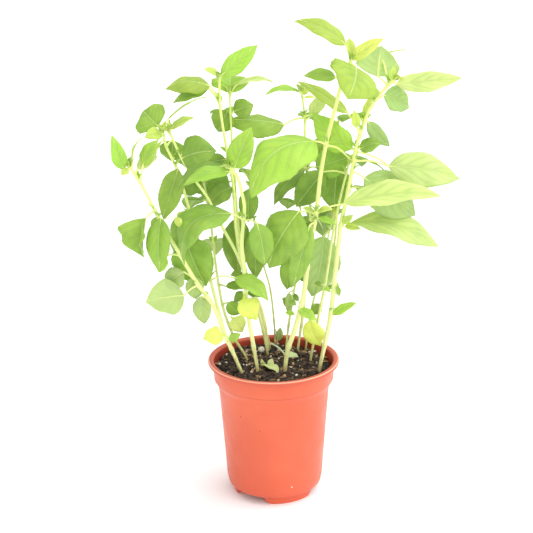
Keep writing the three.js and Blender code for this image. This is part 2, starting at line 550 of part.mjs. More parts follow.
function soilSolid() {
  const inset = POT_WALL + SOIL_GAP;
  const topRadius = COLLAR_RADIUS - inset - 0.5;
  const side = wallProfile(inset).filter(([, z]) => z < SOIL_HEIGHT - 2);
  const top = [1, 0.8, 0.6, 0.4, 0.2].map((share) => [share * topRadius, SOIL_HEIGHT]);
  const geometry = turned([
    [0, POT_WALL + SOIL_GAP],
    [FOOT_RADIUS - inset, POT_WALL + SOIL_GAP],
    ...side,
    ...top,
    [0, SOIL_HEIGHT],
  ], SOIL_SEGMENTS);
  const places = geometry.attributes.position;
  for (let i = 0; i < places.count; i += 1) {
    if (places.getZ(i) === SOIL_HEIGHT) places.setZ(i, soilHeight(places.getX(i), places.getY(i)));
  }
  let soil = withoutNotches(toSolid(geometry), inset);
  for (const row of [...Object.values(PLANTS).flat(), DRY_STUB]) soil = soil.subtract(stemHole(row));
  return soil;
}

// The hole a stem stands in: the stem's own foot, a little wider and deeper.
function stemHole(row) {
  const [foot, ...rest] = row.path;
  const deeper = [foot[0], foot[1], foot[2] - HOLE_CLEARANCE];
  return stemTube({ thick: row.thick, path: [deeper, ...rest] }, HOLE_CLEARANCE);
}

// ---- The whole ----
const group = new THREE.Group();

function addPiece(name, solid, finish) {
  const piece = new THREE.Mesh(toGeometry(solid), new THREE.MeshStandardMaterial(finish));
  piece.name = name;
  group.add(piece);
}

addPiece("pot", potSolid(), TERRACOTTA_PLASTIC);
addPiece("soil", soilSolid(), DARK_SOIL);
for (const [name, shoots] of Object.entries(PLANTS)) addPiece(name, plantSolid(shoots), GREEN_LEAF);
for (const [name, [start, row]] of Object.entries(TURNED_LEAVES)) {
  addPiece(name, leafSolid(vec(start), row), YELLOW_LEAF);
}
for (const [name, [start, row]] of Object.entries(DROPPED_LEAVES)) {
  addPiece(name, leafSolid(vec(start), row), name === "leaf_fallen" ? GREEN_LEAF : DRY_LEAF);
}
addPiece("stem_stub", stemTube(DRY_STUB, 0), DRY_LEAF);

export default group;
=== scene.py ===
# A potted basil plant: fourteen leafy stems in dark soil, in a thin plastic pot on three feet.
# Metres. The origin is the middle of the pot's base, +Z is up, and +Y is the back.
import math
import random

import bpy
import numpy as np
from mathutils import Matrix, Vector, noise


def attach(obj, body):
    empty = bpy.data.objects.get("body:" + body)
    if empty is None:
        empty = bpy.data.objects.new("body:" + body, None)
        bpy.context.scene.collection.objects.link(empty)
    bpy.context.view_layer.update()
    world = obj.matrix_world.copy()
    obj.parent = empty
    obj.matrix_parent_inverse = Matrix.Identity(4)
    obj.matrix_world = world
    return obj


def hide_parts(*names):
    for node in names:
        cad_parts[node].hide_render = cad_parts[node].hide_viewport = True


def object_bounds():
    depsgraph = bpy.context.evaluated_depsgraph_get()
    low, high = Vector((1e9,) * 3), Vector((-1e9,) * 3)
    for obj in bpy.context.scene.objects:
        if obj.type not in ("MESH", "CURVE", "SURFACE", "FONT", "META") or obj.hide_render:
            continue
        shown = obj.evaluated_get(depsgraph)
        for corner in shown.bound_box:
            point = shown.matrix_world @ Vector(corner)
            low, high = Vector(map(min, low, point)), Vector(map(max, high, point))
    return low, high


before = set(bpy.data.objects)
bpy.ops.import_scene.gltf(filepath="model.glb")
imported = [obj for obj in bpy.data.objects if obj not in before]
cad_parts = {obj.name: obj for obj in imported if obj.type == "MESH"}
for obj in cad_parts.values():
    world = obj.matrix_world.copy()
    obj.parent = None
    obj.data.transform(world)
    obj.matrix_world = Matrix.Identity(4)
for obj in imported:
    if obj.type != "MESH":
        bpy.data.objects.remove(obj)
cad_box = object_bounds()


# ---- Pot ----
# A nursery pot injection-moulded in thin terracotta-coloured plastic, in one piece: a rounded rim
# lip, a straight collar, a step in to the tapered body, and a foot ring that three notches part
# into feet, with a drain hole over each notch.
MM = 0.001
POT_SIDES = 144
# Radius and height in mm, up the outside to the top of the rim, and up the inside and out of it.
POT_OUTSIDE = [
    (40.9, 0), (41.3, 0.25), (41.45, 0.8), (41.5, 6.9), (41.8, 7.4), (43.9, 7.9), (45.4, 8.6),
    (46.5, 10.0), (47.1, 12.2), (47.7, 15.2), (48.3, 19.6), (49.3, 36), (52.1, 74), (54.9, 111.6),
    (55.1, 113), (55.7, 114.5), (58.0, 118.4), (58.5, 119.3), (58.6, 119.8), (59.1, 120.1),
    (59.3, 120.7), (60.0, 133.9), (60.05, 134.3), (60.3, 134.7), (60.4, 135.9), (60.8, 136.3),
    (61.4, 136.4), (64.0, 136.4), (64.6, 136.6), (64.9, 137.1), (65, 137.8), (64.95, 138.8),
    (64.6, 139.4), (64.0, 139.8), (63.3, 140),
]
POT_INSIDE = [
    (39.9, 1.4), (40.1, 1.9), (40.1, 8.4), (44.5, 9.9), (45.8, 12.9), (46.8, 18), (53.6, 113.4),
    (57.8, 120.4), (58.6, 133.6), (58.7, 136.6), (58.9, 138.0), (59.3, 138.9), (59.9, 139.5),
    (60.6, 139.8), (61.4, 139.93), (62.2, 140.3),
]
POT_WALL = 1.4
# The notches: their middles and half their width at the floor and at the roof in degrees, then the
# height of the roof and how far they run from the middle of the pot.
NOTCH_MIDDLES = [-126, -6, 114]
NOTCH_HALF_LOW, NOTCH_HALF_HIGH = 31, 20
NOTCH_ROOF = 7.4
NOTCH_INNER, NOTCH_OUTER = 20, 72
DRAIN_RADIUS = 4
DRAIN_PLACE_RADIUS = 31
# Marks on the plastic: place in mm, size in mm and colour.
POT_MARKS = [
    ((-32.8, -42.5, 95.4), 0.9, (0.22, 0.04, 0.02, 1)),
    ((-14.2, -50.9, 84.2), 0.8, (0.30, 0.05, 0.02, 1)),
    ((-36.9, -36.6, 72.6), 0.6, (0.34, 0.06, 0.03, 1)),
    ((-5.7, -45.4, 9.4), 1.0, (0.10, 0.02, 0.01, 1)),
    ((-45.0, -17.8, 21.8), 0.8, (0.98, 0.85, 0.60, 1)),
    ((16.5, -45.4, 20.6), 0.9, (0.98, 0.82, 0.58, 1)),
]
# Painted shade lines under the collar, on the foot and under the lip: height and half width in m.
POT_SHADE_LINES = [(0.1199, 0.0006), (0.0076, 0.0005), (0.1362, 0.0005)]


def select_only(piece):
    bpy.ops.object.select_all(action="DESELECT")
    piece.select_set(True)
    bpy.context.view_layer.objects.active = piece


def just_made(name):
    """The object that the last operator added, with its name."""
    piece = bpy.context.object
    piece.name = name
    return piece


def mode(name):
    bpy.ops.object.mode_set(mode=name)


def drawn_up(name, rows, sides):
    """A closed turned solid: a disc drawn up through rows of (radius, height)."""
    radius, height = rows[0]
    bpy.ops.mesh.primitive_circle_add(vertices=sides, radius=radius * MM, fill_type="NGON",
                                      location=(0, 0, height * MM))
    piece = just_made(name)
    bpy.ops.object.transform_apply()
    mode("EDIT")
    bpy.ops.mesh.select_all(action="SELECT")
    for next_radius, next_height in rows[1:]:
        bpy.ops.mesh.extrude_region_move(
            TRANSFORM_OT_translate={"value": (0, 0, (next_height - height) * MM)})
        share = next_radius / radius
        bpy.ops.transform.resize(value=(share, share, 1), center_override=(0, 0, next_height * MM))
        radius, height = next_radius, next_height
    bpy.ops.mesh.select_all(action="SELECT")
    bpy.ops.mesh.normals_make_consistent(inside=False)
    mode("OBJECT")
    return piece


def cut_away(piece, cutter):
    """Cuts a closed solid out of a piece and takes the cutter away."""
    select_only(piece)
    cut = piece.modifiers.new("cut", "BOOLEAN")
    cut.operation = "DIFFERENCE"
    cut.solver = "EXACT"
    cut.object = cutter
    bpy.ops.object.modifier_apply(modifier=cut.name)
    bpy.data.objects.remove(cutter)


def notch_wedge(middle, grow):
    """The wedge between two feet, wider at the floor, with every face moved out by grow."""
    bpy.ops.mesh.primitive_cube_add(size=1)
    wedge = bpy.context.object
    spread = math.degrees(grow / NOTCH_INNER)
    for corner in wedge.data.vertices:
        low = corner.co.z < 0
        radius = NOTCH_INNER - grow if corner.co.x < 0 else NOTCH_OUTER
        half_angle = (NOTCH_HALF_LOW if low else NOTCH_HALF_HIGH) + spread
        angle = math.radians(middle + math.copysign(half_angle, corner.co.y))
        height = -1 if low else NOTCH_ROOF + grow
        corner.co = Vector((radius * math.cos(angle), radius * math.sin(angle), height)) * MM
    select_only(wedge)
    soften = wedge.modifiers.new("soften", "BEVEL")
    soften.width = 1.1 * MM
    soften.segments = 3
    bpy.ops.object.modifier_apply(modifier=soften.name)
    return wedge


pot = drawn_up("pot_moulding", POT_OUTSIDE, POT_SIDES)
pot_hollow = drawn_up("pot_hollow", POT_INSIDE, POT_SIDES)
for middle in NOTCH_MIDDLES:
    cut_away(pot_hollow, notch_wedge(middle, POT_WALL))
cut_away(pot, pot_hollow)
for middle in NOTCH_MIDDLES:
    cut_away(pot, notch_wedge(middle, 0))
    place = Matrix.Rotation(math.radians(middle), 3, "Z") @ Vector((DRAIN_PLACE_RADIUS * MM, 0, 0))
    bpy.ops.mesh.primitive_cylinder_add(vertices=40, radius=DRAIN_RADIUS * MM, depth=36 * MM,
                                        location=place)
    cut_away(pot, bpy.context.object)
select_only(pot)
bpy.ops.object.shade_smooth_by_angle(angle=math.radians(38))


def new_material(name):
    """A material with its node tree and its Principled shader."""
    material = bpy.data.materials.new(name)
    material.use_nodes = True
    tree = material.node_tree
    tree.nodes.clear()
    shader = tree.nodes.new("ShaderNodeBsdfPrincipled")
    output = tree.nodes.new("ShaderNodeOutputMaterial")
    tree.links.new(shader.outputs["BSDF"], output.inputs["Surface"])
    return material, tree, shader


def feed(tree, socket, value):
    """Sets a socket to a number or colour, or links another socket to it."""
    if isinstance(value, bpy.types.NodeSocket):
        tree.links.new(value, socket)
    else:
        socket.default_value = value


def node(tree, kind, sockets, **settings):
    """The outputs of a new node, with its settings, and its inputs by name or number."""
    step = tree.nodes.new("ShaderNode" + kind)
    for name, value in settings.items():
        setattr(step, name, value)
    for name, value in sockets.items():
        feed(tree, step.inputs[name], value)
    return step.outputs


def calc(tree, operation, first, second=0.0, third=0.0):
    """The result of a Math node."""
    return node(tree, "Math", {0: first, 1: second, 2: third}, operation=operation)["Value"]


def times(tree, first, second):
    """One value times another."""
    return calc(tree, "MULTIPLY", first, second)


def ramp(tree, value, low, high, to_low=0.0, to_high=1.0):
    """A value carried smoothly from the range low..high to the range to_low..to_high."""
    sockets = {0: value, 1: low, 2: high, 3: to_low, 4: to_high}
    return node(tree, "MapRange", sockets, interpolation_type="SMOOTHSTEP")["Result"]


def mix(tree, share, first, second, way="MIX"):
    """Two colours mixed by a share."""
    return node(tree, "Mix", {0: share, 6: first, 7: second}, data_type="RGBA", blend_type=way)[2]


def speckle(tree, where, scale, detail=2.0, rough=0.5):
    """A cloudy value from 0 to 1."""
    sockets = {"Vector": where, "Scale": scale, "Detail": detail, "Roughness": rough}
    return node(tree, "TexNoise", sockets)["Fac"]


def dots(tree, where, scale, feature="F1"):
    """The distance to scattered points, or to the edges between their cells, and a colour each."""
    return node(tree, "TexVoronoi", {"Vector": where, "Scale": scale}, feature=feature)


def bump(tree, shader, height, strength, distance):
    """Feeds a bump to a shader's normal."""
    sockets = {"Strength": strength, "Distance": distance, "Height": height}
    feed(tree, shader.inputs["Normal"], node(tree, "Bump", sockets)["Normal"])


def object_place(tree):
    """The place on the object, in metres."""
    return node(tree, "TexCoord", {})["Object"]


def parts_of(tree, where):
    """The X, Y and Z of a place."""
    return node(tree, "SeparateXYZ", {"Vector": where})


def coat(piece, *materials):
    """Gives a piece its materials, in place of any that it has."""
    piece.data.materials.clear()
    for material in materials:
        piece.data.materials.append(material)


terracotta, tree, shader = new_material("terracotta_plastic")
place = object_place(tree)
parts = parts_of(tree, place)
height = parts["Z"]
cloud = speckle(tree, place, 18, 4)
colour = mix(tree, ramp(tree, cloud, 0.35, 0.7), (0.64, 0.108, 0.047, 1), (0.70, 0.131, 0.058, 1))
low_share = ramp(tree, height, 0.075, 0.0)
colour = mix(tree, times(tree, low_share, 0.45), colour, (0.60, 0.085, 0.035, 1))
pale_size = ramp(tree, speckle(tree, place, 9), 0.56, 0.70, 0.0, 0.085)
pale_mask = calc(tree, "LESS_THAN", dots(tree, place, 70)["Distance"], pale_size)
colour = mix(tree, times(tree, pale_mask, 0.55), colour, (0.95, 0.62, 0.45, 1))
dark_size = ramp(tree, speckle(tree, place, 14), 0.57, 0.72, 0.0, 0.06)
dark_mask = calc(tree, "LESS_THAN", dots(tree, place, 46)["Distance"], dark_size)
colour = mix(tree, times(tree, dark_mask, 0.7), colour, (0.25, 0.05, 0.03, 1))
for mark, mark_size, mark_colour in POT_MARKS:
    gap = node(tree, "VectorMath", {0: place, 1: Vector(mark) * MM}, operation="DISTANCE")["Value"]
    mark_mask = ramp(tree, gap, mark_size * MM, 0.5 * mark_size * MM)
    colour = mix(tree, mark_mask, colour, mark_colour)
level = node(tree, "CombineXYZ", {"X": parts["X"], "Y": parts["Y"]})["Vector"]
from_axis = node(tree, "VectorMath", {0: level}, operation="LENGTH")["Value"]
# Painted shade: dark lines along the step under the collar, the top of the foot and under the lip.
for line_height, line_half in POT_SHADE_LINES:
    away = calc(tree, "ABSOLUTE", calc(tree, "SUBTRACT", height, line_height))
    pot_line_shade = ramp(tree, away, line_half, 0.25 * line_half, 0.0, 0.6)
    colour = mix(tree, pot_line_shade, colour, (0.34, 0.045, 0.02, 1))
# Painted shade: the rim lip a deeper red from just under its edge up.
lip_shade = ramp(tree, height, 0.1362, 0.1367, 0.0, 0.45)
colour = mix(tree, lip_shade, colour, (0.44, 0.060, 0.028, 1))
# Painted highlight: a pale line along the outer top edge of the rim.
rim_highlight = times(tree, ramp(tree, height, 0.1388, 0.1396), ramp(tree, from_axis, 0.0632, 0.0640))
colour = mix(tree, times(tree, rim_highlight, 0.75), colour, (0.95, 0.50, 0.35, 1))
# Painted shade: the inner wall a deeper red from the soil up; over it, dark smears of soil dust.
inside = times(tree, ramp(tree, from_axis, 0.0592, 0.0589), ramp(tree, height, 0.1200, 0.1300))
smear = times(tree, inside, ramp(tree, speckle(tree, place, 130, 5, 0.7), 0.42, 0.68))
colour = mix(tree, times(tree, inside, 0.85), colour, (0.42, 0.040, 0.020, 1))
colour = mix(tree, times(tree, smear, 0.55), colour, (0.10, 0.030, 0.016, 1))
feed(tree, shader.inputs["Base Color"], colour)
dull = speckle(tree, place, 55, 4)
feed(tree, shader.inputs["Roughness"], ramp(tree, dull, 0.3, 0.75, 0.34, 0.52))
shader.inputs["Specular IOR Level"].default_value = 0.45
grain = calc(tree, "ADD", times(tree, speckle(tree, place, 900, 2), 0.25),
             speckle(tree, place, 60, 3))
bump(tree, shader, grain, 0.25, 0.0005)
coat(pot, terracotta)
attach(pot, "root")
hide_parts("pot")


# ---- Soil ----
# Peat-based potting soil pressed into the pot, a little below the rim: a lumpy dark surface with
# loose crumbs, bits of bark and pale mineral grains, and one round white grain.
SOIL_SIDES = 132
SOIL_OUTSIDE = [(39.5, 2.0), (39.6, 8.8), (44.0, 10.3), (45.3, 13.2), (46.3, 18), (53.1, 113.4),
                (57.2, 120.4), (57.2, 129), (57.2, 131)]
SOIL_NOTCH_GAP = 1.9
SOIL_TOP = 130.9
SOIL_RINGS = 27
SOIL_RING_WIDTH = 2.05
STREWN_REACH = 55.5

soil = drawn_up("soil_filling", SOIL_OUTSIDE, SOIL_SIDES)
for middle in NOTCH_MIDDLES:
    cut_away(soil, notch_wedge(middle, SOIL_NOTCH_GAP))


def select_soil_top():
    """Selects the soil's surface and nothing else, and goes to edit mode."""
    mode("OBJECT")
    for face in soil.data.polygons:
        face.select = face.center.z > SOIL_TOP * MM
    mode("EDIT")


select_only(soil)
mode("EDIT")
bpy.ops.mesh.select_mode(type="FACE")
bpy.ops.mesh.select_all(action="DESELECT")
select_soil_top()
for _ in range(SOIL_RINGS):
    bpy.ops.mesh.inset(thickness=SOIL_RING_WIDTH * MM)
select_soil_top()
bpy.ops.mesh.subdivide(number_cuts=1)
mode("OBJECT")


def soil_height(x, y):
    """Height of the soil in mm at a place in mm: a slight tilt, lumps, and crumbs on them."""
    lumps = math.sin(0.23 * x + 1) * math.cos(0.23 * y) + 0.5 * math.sin(0.46 * (x - y))
    clods = noise.noise(Vector((x, y, 3)) * 0.17) + 0.6 * noise.noise(Vector((x, y, 8)) * 0.42)
    crumbs = abs(noise.noise(Vector((x, y, 1)) * 0.95))
    return 130.6 - 0.02 * (x - y) + 0.8 * lumps + 1.3 * clods + 1.1 * crumbs


for corner in soil.data.vertices:
    if corner.co.z > (SOIL_TOP - 0.4) * MM:
        corner.co.z = soil_height(corner.co.x / MM, corner.co.y / MM) * MM
bpy.ops.object.shade_smooth()

dark_soil, tree, shader = new_material("dark_potting_soil")
place = object_place(tree)
cells = dots(tree, place, 420)
colour = mix(tree, cells["Color"], (0.008, 0.005, 0.003, 1), (0.060, 0.034, 0.018, 1))
colour = mix(tree, ramp(tree, speckle(tree, place, 900, 3, 0.7), 0.45, 0.75), colour,
             (0.10, 0.055, 0.03, 1))
pale = times(tree, ramp(tree, speckle(tree, place, 260, 2), 0.66, 0.72),
             ramp(tree, cells["Distance"], 0.55, 0.3))
colour = mix(tree, pale, colour, (0.45, 0.33, 0.2, 1))
feed(tree, shader.inputs["Base Color"], colour)
feed(tree, shader.inputs["Roughness"], ramp(tree, cells["Distance"], 0.1, 0.7, 0.7, 0.95))
shader.inputs["Specular IOR Level"].default_value = 0.35
bump(tree, shader, calc(tree, "ADD", cells["Distance"], speckle(tree, place, 1500, 3)), 1.0, 0.0012)
coat(soil, dark_soil)


def rounded_crumb(stretch, jitter, seed):
    """One crumb about 1 unit across with two dozen faces: a cube rounded and knocked about."""
    bpy.ops.mesh.primitive_cube_add(size=1)
    crumb = bpy.context.object
    mode("EDIT")
    bpy.ops.mesh.subdivide(number_cuts=1, smoothness=0.8)
    bpy.ops.transform.vertex_random(offset=jitter, seed=seed)
    mode("OBJECT")
    crumb.scale = stretch
    bpy.ops.object.transform_apply()
    return crumb


def strewn(name, model, material, count, smallest, largest, sink, seed):
    """Copies of a model strewn over the soil, all in one mesh, most of them small."""
    chance = random.Random(seed)
    points = np.array([corner.co for corner in model.data.vertices])
    faces = np.array([list(face.vertices) for face in model.data.polygons])
    all_points, all_faces = [], []
    for number in range(count):
        radius = STREWN_REACH * math.sqrt(chance.random())
        angle = chance.uniform(0, 2 * math.pi)
        size = smallest + (largest - smallest) * chance.random() ** 2.2
        turn = Matrix.Rotation(chance.uniform(0, 6.28), 3, "Z") @ Matrix.Rotation(
            chance.uniform(-0.6, 0.6), 3, "X")
        x, y = radius * math.cos(angle), radius * math.sin(angle)
        rest = Vector((x, y, soil_height(x, y) + (0.5 - sink) * size))
        all_points.append((points * size @ np.array(turn).T + np.array(rest)) * MM)
        all_faces.append(faces + number * len(points))
    mesh = bpy.data.meshes.new(name)
    mesh.from_pydata(np.concatenate(all_points).tolist(), [], np.concatenate(all_faces).tolist())
    mesh.materials.append(material)
    piece = bpy.data.objects.new(name, mesh)
    bpy.context.scene.collection.objects.link(piece)
    bpy.data.objects.remove(model)
    select_only(piece)
    bpy.ops.object.shade_smooth()
    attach(piece, "root")
    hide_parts("soil")


def grain_material(name, dull, bright, scale, roughness):
    """The finish of one kind of bit in the soil: mottled between two colours, with a rough skin."""
    material, tree, shader = new_material(name)
    place = object_place(tree)
    share = ramp(tree, speckle(tree, place, scale, 3, 0.6), 0.35, 0.65)
    feed(tree, shader.inputs["Base Color"], mix(tree, share, dull, bright))
    feed(tree, shader.inputs["Roughness"], ramp(tree, share, 0, 1, roughness, roughness - 0.15))
    bump(tree, shader, speckle(tree, place, scale * 5, 3), 0.6, 0.0004)
    return material


peat = grain_material("peat_crumbs", (0.008, 0.005, 0.003, 1), (0.060, 0.032, 0.018, 1), 180, 0.9)
bark = grain_material("bark_bits", (0.12, 0.058, 0.026, 1), (0.46, 0.30, 0.155, 1), 240, 0.85)
mineral = grain_material("mineral_grains", (0.55, 0.45, 0.33, 1), (0.92, 0.88, 0.80, 1), 300, 0.8)
# What lies on the soil: the stretch of one bit, how far its corners are knocked about, how many
# there are, the smallest and largest in mm, and how deep they sink, as a share of their size.
for seed, (name, material, stretch, jitter, count, smallest, largest, sink) in enumerate((
        ("soil_crumbs", peat, (1, 0.8, 0.65), 0.16, 1500, 1.1, 4.2, 0.35),
        ("soil_bark", bark, (1.5, 0.6, 0.3), 0.10, 420, 0.9, 3.8, 0.2),
        ("soil_fibres", bark, (3.2, 0.16, 0.14), 0.05, 90, 1.4, 3.4, 0.3),
        ("soil_grains", mineral, (1, 0.85, 0.8), 0.14, 210, 0.6, 2.3, 0.3)), start=1):
    bit = rounded_crumb(stretch, jitter, seed)
    strewn(name, bit, material, count, smallest, largest, sink, 10 + seed)
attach(soil, "root")
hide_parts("soil")

GRAIN_PLACE = (-12, 35, 134.6)
bpy.ops.mesh.primitive_ico_sphere_add(subdivisions=4, radius=3.4 * MM,
                                      location=[part * MM for part in GRAIN_PLACE])
white_grain = just_made("soil_white_grain")
bpy.ops.object.transform_apply()
middle = Vector(GRAIN_PLACE) * MM
for corner in white_grain.data.vertices:
    out = corner.co - middle
    pits = noise.noise(out * 420) * 0.10 - 0.16 * max(0, noise.noise(out * 900 + Vector((5, 0, 0))))
    corner.co = middle + out * (1 + pits)
bpy.ops.object.shade_smooth()
chalky = grain_material("white_grain", (0.62, 0.55, 0.46, 1), (0.93, 0.90, 0.84, 1), 520, 0.75)
coat(white_grain, chalky)
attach(white_grain, "root")
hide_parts("soil")


# ---- Plants ----
# Each plant is one shoot, or a forked pair, with its leaves: shoot(thickness at its foot, shade of
# each leaf as a letter, points of its centre line, leaves). A leaf is given by its height on the
# stem, run of the stalk, run of the blade, width, way the upper face looks, rise of the midrib,
# lift of the halves in degrees and twist in degrees. Lengths are in mm, and points are from the
# middle of the pot's base.
def leaf(at, stalk, blade, width, face, bow, fold, twist=0):
    return {"at": at, "stalk": Vector(stalk), "blade": Vector(blade), "width": width,
            "face": Vector(face), "bow": bow, "fold": fold, "twist": twist}


def shoot(thick, shades, path, rows):
    return {"thick": thick, "shades": shades, "path": [Vector(point) for point in path],
            "leaves": [leaf(*row) for row in rows]}


